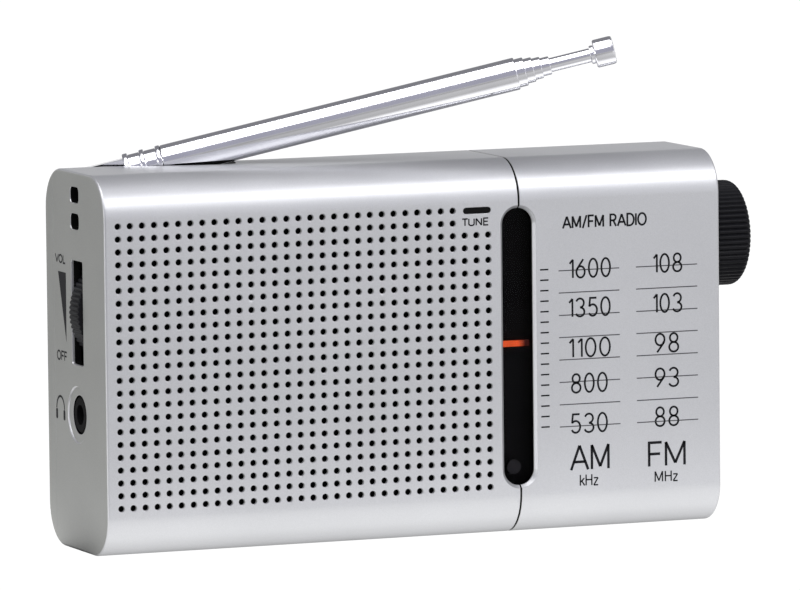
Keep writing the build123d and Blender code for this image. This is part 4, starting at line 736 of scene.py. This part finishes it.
def grille_cutters():
    """The sound holes, all but the corner that the tuning lamp and its word take."""
    return [cut_front(FIRST_HOLE_X + column * HOLE_PITCH, FIRST_HOLE_Z - row * HOLE_PITCH, *HOLE)
            for column in range(HOLE_COLUMNS) for row in range(HOLE_ROWS)
            if column < HOLE_COLUMNS - SKIPPED_COLUMNS or row >= SKIPPED_ROWS]


def window_cutter():
    """The dial window's opening: a bevelled lip that stands over the edge of the lens."""
    behind_lip = FRONT + LENS_DEPTH - 0.04
    rings = []
    for y, grow in ((FRONT - REACH, WINDOW_EDGE), (FRONT, WINDOW_EDGE), (FRONT + 0.1, WINDOW_EDGE - 0.06),
                    (FRONT + WINDOW_EDGE, 0.04), (FRONT + WINDOW_EDGE + 0.08, 0.0), (behind_lip, 0.0),
                    (behind_lip, WINDOW_LIP), (INNER_FRONT + 1.0, WINDOW_LIP)):
        width = WINDOW_WIDTH + 2 * (grow - WINDOW_LIP)
        outline = rounded_outline(width, width + WINDOW_LENGTH - WINDOW_WIDTH, width / 2, OPENING_STEPS)
        rings.append([(WINDOW_X + u, y, WINDOW_Z + v) for u, v in outline])
    return loft(rings)


def jack_cutter():
    """The earphone hole with its shallow dish."""
    rings = []
    floor = LEFT + JACK_DISH_DEPTH
    for x, radius in ((LEFT - REACH, JACK_DISH_RADIUS), (LEFT, JACK_DISH_RADIUS),
                      (LEFT + 0.05, JACK_DISH_RADIUS - 0.08), (floor - 0.08, JACK_DISH_RADIUS - 0.22),
                      (floor, JACK_DISH_RADIUS - 0.42), (floor + 0.02, JACK_HOLE_RADIUS + 0.15),
                      (floor + 0.12, JACK_HOLE_RADIUS), (LEFT + PAINT_DEPTH, JACK_HOLE_RADIUS),
                      (INNER_LEFT + 1, JACK_HOLE_RADIUS)):
        rings.append([(x, JACK_Y + u, JACK_Z + v) for u, v in circle(radius, OPENING_STEPS)])
    return loft(rings)


def left_end_cutters():
    """Strap holes, volume slot and earphone hole."""
    cutters = [cut_left(STRAP_HOLE_Y, z, *STRAP_HOLE) for z in STRAP_HOLES_Z]
    return cutters + [cut_left(VOLUME_SLOT_Y, VOLUME_Z, *VOLUME_SLOT), jack_cutter()]


def well_cutters():
    """The antenna's well as separate overlapping solids, each cut in its own turn."""
    x, y, z = PIVOT
    drop = TUBE_CLEARANCE / math.cos(ANTENNA_ELEVATION)
    facing = Matrix.Translation(PIVOT) @ Matrix.Rotation(ANTENNA_AZIMUTH, 4, "Z")
    tube_outline = circle(TUBE_CLEARANCE, OPENING_STEPS)
    tube_room = loft([[antenna_place() @ Vector((u, v, end)) for u, v in tube_outline]
                      for end in (-1, WELL_REACH)])
    pivot_room = loft([[(x + u, y + v, end) for u, v in circle(WELL_RADIUS, OPENING_STEPS)]
                       for end in (WELL_FLOOR, z + WELL_HEADROOM)])
    corners = [(u, v * TUBE_CLEARANCE) for u, v in ((RISING_ROOM[0], -1), (RISING_ROOM[1], -1),
                                                    (RISING_ROOM[1], 1), (RISING_ROOM[0], 1))]
    rising_room = loft([[facing @ Vector((u, v, height)) for u, v in corners]
                        for height in (0, WELL_HEADROOM)])
    far_floor = WELL_REACH * math.tan(ANTENNA_ELEVATION) - drop
    profile = ((WELL_AXIS_GAP, -drop), (WELL_REACH, far_floor), (WELL_REACH, WELL_HEADROOM),
               (WELL_AXIS_GAP, WELL_HEADROOM))
    rings = []
    for step in range(WELL_STEPS + 1):
        swung = facing @ Matrix.Rotation(WELL_TURN * step / WELL_STEPS, 4, "Z")
        rings.append([swung @ Vector((u, 0, height)) for u, height in profile])
    return [[tube_room], [pivot_room], [rising_room], [loft(rings)]]


def paint_and_moulding(piece):
    """Paint on the outside and the first half millimetre of each opening, bare black plastic deeper in."""
    piece.data.materials.clear()
    piece.data.materials.append(PAINT)
    piece.data.materials.append(MOULDING)
    low_hole, high_hole = STRAP_HOLES_Z
    for face in piece.data.polygons:
        x, y, z = (value / MM for value in face.center)
        across = max(abs(y) - CASE_DEPTH / 2 + CASE_CORNER, 0)
        up = max(abs(z - CASE_HEIGHT / 2) - CASE_HEIGHT / 2 + CASE_CORNER, 0)
        depth = CASE_CORNER - math.hypot(across, up)
        depth = min(depth, CASE_DEPTH / 2 - abs(y)) if across == 0 or up == 0 else depth
        depth = min(depth, x - LEFT, RIGHT - x)
        in_seam = abs(x - SEAM_X) < SEAM_GROOVE / 2 + SEAM_SLACK and depth > SEAM_EDGE
        in_window = (abs(x - WINDOW_X) < WINDOW_WIDTH / 2 + WINDOW_EDGE and depth < IN_WALL
                     and WINDOW_LOW - WINDOW_EDGE < z < WINDOW_HIGH + WINDOW_EDGE and not in_seam)
        in_strap_hole = (low_hole - STRAP_HOLE_REACH < z < high_hole + STRAP_HOLE_REACH
                         and abs(y) < STRAP_HOLE_REACH and STRAP_HOLE_PAINT < x - LEFT < IN_WALL)
        bare = in_seam or in_strap_hole or (depth > PAINT_DEPTH and not in_window)
        face.material_index = 1 if bare else 0


def post(x, z, y_low, y_high, radius):
    """A round post that stands behind the front wall."""
    return loft([[(x + u * scale, y, z + v * scale) for u, v in circle(radius, POST_STEPS)]
                 for y, scale in ((y_low, 1.0), (y_high - 0.2, 1.0), (y_high, 0.9))])


def inner_posts(x_low, x_high):
    """Case, board and speaker screw posts between two X planes."""
    posts = [(x, z, start, PARTING_Y, CASE_POST_RADIUS) for x, z, start in CASE_POSTS]
    posts += [(x, z, INNER_FRONT, BOARD_FRONT, BOARD_POST_RADIUS) for x, z in BOARD_POSTS]
    posts += [(SPEAKER_X + side * SPEAKER_POST_STEP, SPEAKER_Z + rise * SPEAKER_POST_STEP, INNER_FRONT,
               SPEAKER_POST_END, SPEAKER_POST_RADIUS) for side in (-1, 1) for rise in (-1, 1)]
    return [post(*sizes) for sizes in posts if x_low < sizes[0] < x_high]


def front_shell(name, end_x, inwards, cutters):
    """One painted front shell, cut off at the parting plane and then by each set of cutters."""
    piece = bare_object(name, *shell(end_x, inwards))
    tidy_normals(piece)
    rear = block(LEFT - REACH, RIGHT + REACH, PARTING_Y, BACK + REACH, -REACH, CASE_HEIGHT + REACH)
    subtract(piece, [rear])
    for solids in cutters:
        subtract(piece, solids)
    paint_and_moulding(piece)
    finish_piece(piece, "case")
    return piece


def front_shells():
    """Both front shells and the posts inside them."""
    channel = [block(PIVOT[0], CHANNEL_END, PIVOT[1] - CHANNEL_REACH, BACK + REACH, PIVOT[2] - TUBE_CLEARANCE,
                     CASE_HEIGHT + REACH)]
    openings = [window_cutter(), cut_front(SLIT_X, SLIT_Z, *SLIT)] + left_end_cutters()
    openings += grille_cutters()
    left_shell = front_shell("speaker_shell", LEFT, 1, [openings, channel] + well_cutters())
    knob_hole = loft([[(x, u, TUNING_Z + v) for u, v in circle(KNOB_HOLE_RADIUS, OPENING_STEPS)]
                      for x in (INNER_RIGHT - 1, RIGHT + 1)])
    right_shell = front_shell("dial_shell", RIGHT, -1, [[window_cutter(), knob_hole], channel])
    for name, low, high, parent_shell, node in (
            ("speaker_posts", LEFT, SEAM_X, left_shell, "speaker_housing"),
            ("dial_posts", SEAM_X, RIGHT, right_shell, "dial_housing")):
        new_piece(name, joined(inner_posts(low, high)), MOULDING)
        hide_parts(node)


# ---- knob and thumbwheel ----
def lathe(levels, count, place, ribs=0, rib_depth=0.0):
    """A turned solid: levels are (distance along the axis, radius, share of the ribs' depth)."""
    rings = []
    for distance, radius, share in levels:
        ring = []
        for step in range(count):
            angle = FULL_TURN * step / count
            wave = 0.5 - 0.5 * math.cos(ribs * angle)
            here = radius - rib_depth * share * wave ** 2
            ring.append(place @ Vector((here * math.cos(angle), here * math.sin(angle), distance)))
        rings.append(ring)
    return loft(rings)


def tuning_knob():
    """The side knob: fine ribs, a rounded outer edge, a recessed middle and a collar."""
    place = Matrix.Translation((0, 0, TUNING_Z)) @ Matrix.Rotation(math.pi / 2, 4, "Y")
    back_rim = KNOB_RADIUS - KNOB_BACK_RIM
    levels = [(KNOB_INNER_X + KNOB_BACK_DEPTH, back_rim, 0), (KNOB_INNER_X, back_rim, 0),
              (KNOB_INNER_X, KNOB_RADIUS - 0.12, 1), (KNOB_INNER_X + 0.12, KNOB_RADIUS, 1)]
    for step in range(KNOB_EDGE_STEPS + 1):
        angle = step / KNOB_EDGE_STEPS * math.pi / 2
        levels.append((KNOB_OUTER_X - KNOB_EDGE + KNOB_EDGE * math.sin(angle),
                       KNOB_RADIUS - KNOB_EDGE + KNOB_EDGE * math.cos(angle), math.cos(angle) ** 0.6))
    levels += [(KNOB_OUTER_X - depth, KNOB_RECESS_RADIUS + grow, 0) for depth, grow in (
        (0, 0.15), (0.05, 0.05), (0.2, 0), (KNOB_RECESS_DEPTH - 0.1, 0), (KNOB_RECESS_DEPTH, -0.1))]
    solid = lathe(levels, KNOB_RIBS * RIB_STEPS, place, KNOB_RIBS, KNOB_RIB_DEPTH)
    new_piece("ribbed_knob", solid, KNOB_BLACK, "tuning", ("tuning_knob",))
    collar = loft([[(x, radius * u, TUNING_Z + radius * v) for u, v in circle(1, OPENING_STEPS)]
                   for x, radius in KNOB_COLLAR])
    new_piece("knob_collar", collar, KNOB_BLACK, "tuning")


def volume_wheel():
    """The thumbwheel: fine ribs round a dished disc."""
    place = Matrix.Translation((VOLUME_X, 0, VOLUME_Z)) @ Matrix.Rotation(-math.pi / 2, 4, "X")
    rim = VOLUME_RADIUS - VOLUME_RIM
    edge = ((0, 0.35, 0.3), (0.1, 0.1, 0.8), (0.35, 0, 1))
    levels = [(VOLUME_FRONT + 1.6, rim - 0.2, 0), (VOLUME_FRONT + 1.4, rim, 0), (VOLUME_FRONT + 0.1, rim, 0),
              (VOLUME_FRONT, rim + 0.1, 0)]
    levels += [(VOLUME_FRONT + depth, VOLUME_RADIUS - inset, share) for depth, inset, share in edge]
    levels += [(VOLUME_BACK - depth, VOLUME_RADIUS - inset, share) for depth, inset, share in reversed(edge)]
    levels.append((VOLUME_BACK, VOLUME_AXLE_RADIUS, 0))
    solid = lathe(levels, VOLUME_RIBS * RIB_STEPS, place, VOLUME_RIBS, VOLUME_RIB_DEPTH)
    new_piece("ribbed_wheel", solid, KNOB_BLACK, "volume", ("volume_wheel",))


def dial_boss_face():
    """A lighter grey skin on the face of the boss behind the dial window."""
    place = Matrix.Translation((DIAL_BOSS_X, 0, DIAL_BOSS_Z)) @ Matrix.Rotation(math.pi / 2, 4, "X")
    levels = [(DIAL_BOSS_REACH + skin, BOSS_FACE_RADIUS, 0) for skin in (-BOSS_FACE_SKIN, BOSS_FACE_SKIN)]
    new_piece("dial_boss_face", lathe(levels, LATHE_STEPS, place), BOSS_GREY, "case")


# ---- antenna ----
def antenna_place():
    """The antenna's frame: its Z axis along the tubes, from the pivot."""
    turn = Matrix.Rotation(ANTENNA_AZIMUTH, 4, "Z") @ Matrix.Rotation(math.pi / 2 - ANTENNA_ELEVATION, 4, "Y")
    return Matrix.Translation(PIVOT) @ turn


def turned(profile):
    """A solid of revolution on the antenna's line from (distance, radius) points."""
    return lathe([(distance, radius, 0) for distance, radius in profile], LATHE_STEPS, antenna_place())


def collar_profile(start, end, radius, edge):
    """Profile points of one ring or tube with softly rounded edges."""
    return [(start, radius - edge), (start + 0.3 * edge, radius - 0.3 * edge), (start + edge, radius),
            (end - edge, radius), (end - 0.3 * edge, radius - 0.3 * edge), (end, radius - edge)]


def antenna_base():
    """The tongue on its pin, the ferrule and its three rings."""
    ferrule = []
    for start, end in FERRULE_RINGS:
        if ferrule:
            ferrule.append((start - 0.05, FERRULE_RADIUS))
        ferrule += collar_profile(start, end, RING_RADIUS, BASE_EDGE)
        if end < FERRULE_RINGS[-1][1]:
            ferrule.append((end + 0.05, FERRULE_RADIUS))
    outline = arc(0, 0, TONGUE_RADIUS, TONGUE_RADIUS, 90, 270, TONGUE_STEPS)
    outline += [(TONGUE_END, -TONGUE_RADIUS), (TONGUE_END, TONGUE_RADIUS)]
    flat = antenna_place() @ Matrix.Rotation(-math.pi / 2, 4, "Y") @ Matrix.Rotation(math.pi / 2, 4, "X")
    centred = flat @ Matrix.Translation((0, 0, -TONGUE_THICKNESS / 2))
    solid = joined([turned(ferrule), slab(outline, TONGUE_THICKNESS, centred, BASE_EDGE)])
    chromed("antenna_root", solid, 1, "antenna_base")


def chromed(name, solid, number, node):
    """One chromed piece on an antenna body, standing for a CAD node."""
    new_piece(name, solid, FINISHES["antenna_chrome"], "antenna_" + str(number), (node,))


def antenna_tubes():
    """The nested chromed tubes, the thin rod and the knobbed tip."""
    outer = collar_profile(TUBE_START, TUBE_END, TUBE_RADIUS, TUBE_EDGE)
    chromed("antenna_outer", turned(outer), 1, "antenna_tube_1")
    start = TUBE_START + FIRST_SECTION_IN
    for number, radius, end in SECTIONS:
        section = turned(collar_profile(start, end, radius, SECTION_EDGE))
        chromed("antenna_section_" + str(number), section, number, "antenna_tube_" + str(number))
        start += SECTION_IN
    rod = turned(collar_profile(start, ROD_END, ROD_RADIUS, ROD_EDGE))
    chromed("antenna_thin_rod", rod, 6, "antenna_rod")
    chromed("antenna_cap", turned(TIP), 6, "antenna_tip")


# ---- grille cloth ----
def grille_cloth():
    """The thin black cloth behind the sound holes, woven slightly uneven, glued to the front wall."""
    x_low, x_high, z_low, z_high = CLOTH_BOX
    columns, rows = CLOTH_CELLS
    points = []
    for row in range(rows + 1):
        for column in range(columns + 1):
            x = x_low + (x_high - x_low) * column / columns
            z = z_low + (z_high - z_low) * row / rows
            sag = CLOTH_SAG * math.sin(0.9 * x) * math.sin(1.1 * z)
            points.append((x, INNER_FRONT + CLOTH_GAP + sag, z))
    faces = []
    for row in range(rows):
        for column in range(columns):
            here = row * (columns + 1) + column
            x, _, z = points[here]
            if x <= LAMP_CORNER_X or z <= LAMP_CORNER_Z:
                faces.append((here, here + 1, here + columns + 2, here + columns + 1))
    piece = bare_object("cloth_sheet", points, faces)
    piece.data.materials.append(FINISHES["cloth_black"])
    piece.data.shade_smooth()
    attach(piece, "case")
    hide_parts("grille_cloth")


# ---- printing ----
# Letters and figures in a box one unit high, each as its advance and its strokes.
STEM = [(0.05, 0.0), (0.05, 1.0)]
GLYPHS = {
    "0": (0.60, [arc(0.27, 0.5, 0.27, 0.5, 0, 360, 32)]),
    "1": (0.36, [[(0.06, 0.78), (0.26, 1.0), (0.26, 0.0)]]),
    "3": (0.60, [arc(0.26, 0.75, 0.24, 0.25, 160, -90), arc(0.26, 0.25, 0.27, 0.25, 90, -160)]),
    "5": (0.60, [[(0.5, 1.0), (0.1, 1.0), (0.05, 0.52)] + arc(0.26, 0.32, 0.27, 0.32, 140, -150)]),
    "6": (0.60, [arc(0.27, 0.31, 0.26, 0.31, 0, 360, 28), [(0.44, 1.0), (0.14, 0.6), (0.03, 0.4)]]),
    "8": (0.60, [arc(0.27, 0.76, 0.22, 0.24, 0, 360, 24), arc(0.27, 0.26, 0.26, 0.26, 0, 360, 28)]),
    "9": (0.60, [arc(0.27, 0.69, 0.26, 0.31, 0, 360, 28), [(0.1, 0.0), (0.4, 0.4), (0.51, 0.6)]]),
    "A": (0.78, [[(0.0, 0.0), (0.34, 1.0), (0.68, 0.0)], [(0.11, 0.33), (0.57, 0.33)]]),
    "D": (0.74, [STEM + [(0.25, 1.0)] + arc(0.25, 0.5, 0.36, 0.5, 90, -90) + [(0.05, 0.0)]]),
    "E": (0.62, [[(0.5, 0.0), (0.05, 0.0), (0.05, 1.0), (0.5, 1.0)], [(0.05, 0.52), (0.45, 0.52)]]),
    "F": (0.60, [STEM + [(0.5, 1.0)], [(0.05, 0.52), (0.44, 0.52)]]),
    "H": (0.74, [STEM, [(0.58, 0.0), (0.58, 1.0)], [(0.05, 0.52), (0.58, 0.52)]]),
    "I": (0.24, [STEM]),
    "L": (0.58, [[(0.05, 1.0), (0.05, 0.0), (0.48, 0.0)]]),
    "M": (0.92, [STEM + [(0.38, 0.1), (0.71, 1.0), (0.71, 0.0)]]),
    "N": (0.76, [STEM + [(0.58, 0.0), (0.58, 1.0)]]),
    "O": (0.82, [arc(0.34, 0.5, 0.34, 0.5, 0, 360, 32)]),
    "R": (0.68, [STEM + [(0.28, 1.0)] + arc(0.28, 0.75, 0.23, 0.25, 90, -90) + [(0.05, 0.5)],
                 [(0.3, 0.5), (0.53, 0.0)]]),
    "T": (0.62, [[(0.0, 1.0), (0.56, 1.0)], [(0.28, 1.0), (0.28, 0.0)]]),
    "U": (0.74, [[(0.05, 1.0), (0.05, 0.3)] + arc(0.315, 0.27, 0.265, 0.27, 180, 360) + [(0.58, 1.0)]]),
    "V": (0.72, [[(0.0, 1.0), (0.31, 0.0), (0.62, 1.0)]]),
    "k": (0.54, [STEM, [(0.42, 0.68), (0.06, 0.32)], [(0.18, 0.44), (0.45, 0.0)]]),
    "z": (0.50, [[(0.03, 0.66), (0.42, 0.66), (0.03, 0.0), (0.43, 0.0)]]),
    "/": (0.46, [[(0.0, -0.05), (0.34, 1.05)]]),
    " ": (0.36, []),
}


def headings(points, index):
    """The directions into and out of a point of a line, one only at a loose end."""
    last = len(points) - 1
    closed = math.dist(points[0], points[-1]) < 1e-6
    before = points[index - 1] if index > 0 else (points[last - 1] if closed else points[0])
    after = points[index + 1] if index < last else (points[1] if closed else points[last])
    found = []
    for start, end in ((before, points[index]), (points[index], after)):
        length = math.dist(start, end)
        if length > 1e-9:
            found.append(((end[0] - start[0]) / length, (end[1] - start[1]) / length))
    return found


def split_at_corners(points):
    """A line as several, without repeated points, parted where it turns back sharply."""
    points = points[:1] + [here for before, here in zip(points, points[1:]) if math.dist(before, here) > 1e-6]
    lines = []
    start = 0
    for index in range(1, len(points) - 1):
        (in_u, in_v), (out_u, out_v) = headings(points, index)
        if in_u * out_u + in_v * out_v < SHARPEST_MITRE:
            lines.append(points[start:index + 1])
            start = index
    return lines + [points[start:]]


def ribbon(points, width):
    """The outline of a stroke of constant width, mitred where it bends, as left and right points."""
    left = []
    right = []
    for index, (u, v) in enumerate(points):
        directions = headings(points, index)
        along_u = sum(direction[0] for direction in directions)
        along_v = sum(direction[1] for direction in directions)
        length = math.hypot(along_u, along_v)
        along_u, along_v = along_u / length, along_v / length
        half = width / 2 / (along_u * directions[0][0] + along_v * directions[0][1])
        left.append((u - along_v * half, v + along_u * half))
        right.append((u + along_v * half, v - along_u * half))
    return left, right


def stroke(points, width, place):
    """A thin raised bar of ink along a stroke; place maps (u, v, height) to the case."""
    left, right = ribbon(points, width)
    rings = []
    for (left_u, left_v), (right_u, right_v) in zip(left, right):
        rings.append([place(left_u, left_v, -INK_SUNK), place(left_u, left_v, INK_PROUD),
                      place(right_u, right_v, INK_PROUD), place(right_u, right_v, -INK_SUNK)])
    return loft(rings)


def on_front(u, v, height):
    """Text runs along +X on the front face."""
    return (u, FRONT - height, v + PRINT_LIFT)


def on_left_end(u, v, height):
    """Text runs from the back to the front on the left end face; u is minus Y."""
    return (LEFT - height, -u, v)


def word(text, u_low, u_high, v_low, v_high, width, place):
    """Strokes of a word that fills a box exactly."""
    strokes = []
    pen = 0.0
    for letter in text:
        advance, lines = GLYPHS[letter]
        narrow = DIGIT_WIDTH if letter.isdigit() else 1.0
        strokes += [[(pen + u * narrow, v) for u, v in line] for line in lines]
        pen += advance
    low = min(u for line in strokes for u, _ in line)
    high = max(u for line in strokes for u, _ in line)
    inner_low = u_low + width / 2
    inner_high = u_high - width / 2
    solids = []
    for line in strokes:
        placed = [(inner_low + (u - low) / (high - low) * (inner_high - inner_low),
                   v_low + width / 2 + v * (v_high - v_low - width)) for u, v in line]
        solids += [stroke(piece, width, place) for piece in split_at_corners(placed)]
    return solids


def dial_printing():
    """Scale figures, band names, units, grid lines and ticks beside the window, and two small words."""
    figures = []
    for text, *box, width in DIAL_WORDS:
        figures += word(text, *box, width, on_front)
    new_piece("dial_figures", joined(figures), DARK_INK)
    lines = [stroke([(x_low, z), (x_high, z)], LINE_STROKE, on_front)
             for z in LINES_Z for x_low, x_high in LINES_X]
    new_piece("dial_lines", joined(lines), LINE_INK)
    tick_heights = [FIRST_TICK_Z - TICK_PITCH * step for step in range(TICKS)]
    ticks = [stroke([(x, z) for x in TICK_X], TICK_STROKE, on_front) for z in tick_heights]
    new_piece("dial_ticks", joined(ticks), DARK_INK)


def end_printing():
    """Volume words and wedge, and the headphone sign, on the left end face."""
    solids = [stroke(arc(SIGN_Y, SIGN_Z, *SIGN_BAND, 180, 0, 20), SIGN_STROKE, on_left_end)]
    for text, *box in END_WORDS:
        solids += word(text, *box, END_STROKE, on_left_end)
    outlines = [VOLUME_WEDGE]
    for side in (-1, 1):
        outlines.append([(SIGN_Y + side * CUP_STEP + u, SIGN_Z - CUP_DROP + v)
                         for u, v in rounded_outline(*SIGN_CUP)])
    solids += [loft([[on_left_end(u, v, height) for u, v in outline] for height in (-INK_SUNK, INK_PROUD)])
               for outline in outlines]
    new_piece("end_marks", joined(solids), DARK_INK)


# ---- floor, light and camera ----
def seen_or_lit(tree, seen, lit):
    """One strength for what the camera sees as plain white, and another for the light it gives."""
    straight = tree.nodes.new("ShaderNodeLightPath").outputs["Is Camera Ray"]
    return node_with(tree, "MapRange", {"Value": straight, "To Min": lit, "To Max": seen}).outputs["Result"]


def floor():
    """A wide plain white floor that lights the radio less from far off and from right under it."""
    material, tree = new_tree("white_floor")
    place = coordinates(tree, "Object")
    off = size_of(tree, along(tree, place, "Y"))
    ramp = node_with(tree, "ValToRGB", {"Fac": off})
    for position, value in FLOOR_RAMP:
        ramp.color_ramp.elements.new(position).color = (*grey(value), 1)
    far = spread(tree, off, 0.0, 1.0, *FLOOR_FAR)
    leftwards = spread(tree, along(tree, place, "X"), FLOOR_LEFT_LIGHT, 1.0, *FLOOR_LEFTWARDS)
    dimming = mixed(tree, "MIX", far, shade_of(tree, grey(1.0)), leftwards)
    lit = mixed(tree, "MULTIPLY", 1.0, ramp.outputs["Color"], dimming)
    finished(material, node_with(tree, "Emission", {"Color": (1, 1, 1, 1),
                                                    "Strength": seen_or_lit(tree, FLOOR_SEEN, lit)}))
    corners = [(side * FLOOR_REACH, end * FLOOR_REACH, -FLOOR_GAP)
               for side, end in ((-1, -1), (1, -1), (1, 1), (-1, 1))]
    plane = bare_object("floor", corners, [(0, 1, 2, 3)])
    plane.data.materials.append(material)


def soft_light(name, place, target, size, power):
    """A rectangular soft light aimed at a point; places are metres."""
    data = bpy.data.lights.new(name, "AREA")
    data.shape = "RECTANGLE"
    data.size, data.size_y = size
    data.energy = power
    light = bpy.data.objects.new(name, data)
    light.location = place
    light.rotation_mode = "QUATERNION"
    light.rotation_quaternion = (Vector(target) - Vector(place)).to_track_quat("-Z", "Y")
    bpy.context.scene.collection.objects.link(light)


def sky():
    """A grey studio round the object: white at the horizon behind, greyer overhead and in front."""
    world = bpy.data.worlds.new("studio")
    bpy.context.scene.world = world
    world.use_nodes = True
    tree = world.node_tree
    background = tree.nodes["Background"]
    place = coordinates(tree, "Generated")
    height = tint(tree, along(tree, place, "Z"), grey(1.0), SKY_GREY, SKY_HEIGHTS)
    behind = spread(tree, along(tree, place, "Y"), 0.0, 1.0, *SKY_FRONT_TO_BACK)
    colour = mixed(tree, "MIX", behind, shade_of(tree, ROOM_GREY), height)
    tree.links.new(colour, background.inputs["Color"])
    tree.links.new(seen_or_lit(tree, SKY_SEEN, SKY_LIGHT), background.inputs["Strength"])


def camera():
    """The photograph's viewpoint: nearly level, from the left, with a long lens."""
    data = bpy.data.cameras.new("camera")
    data.sensor_width = SENSOR_WIDTH
    data.lens = CAMERA_LENS
    data.clip_start = NEAREST_SEEN
    data.clip_end = FARTHEST_SEEN
    view = bpy.data.objects.new("camera", data)
    bpy.context.scene.collection.objects.link(view)
    level = math.cos(CAMERA_ELEVATION)
    forward = Vector((-math.sin(CAMERA_AZIMUTH) * level, math.cos(CAMERA_AZIMUTH) * level,
                      -math.sin(CAMERA_ELEVATION)))
    aim = forward.to_track_quat("-Z", "Y").to_matrix().to_4x4() @ Matrix.Rotation(CAMERA_ROLL, 4, "Z")
    view.matrix_world = Matrix.Translation(Vector(CAMERA_PLACE) * MM) @ aim
    bpy.context.scene.camera = view


dress_nodes()
front_shells()
tuning_knob()
volume_wheel()
dial_boss_face()
antenna_base()
antenna_tubes()
grille_cloth()
dial_printing()
end_printing()
floor()
for light in LIGHTS:
    soft_light(*light)
sky()
camera()
bpy.context.scene.view_settings.view_transform = "Standard"
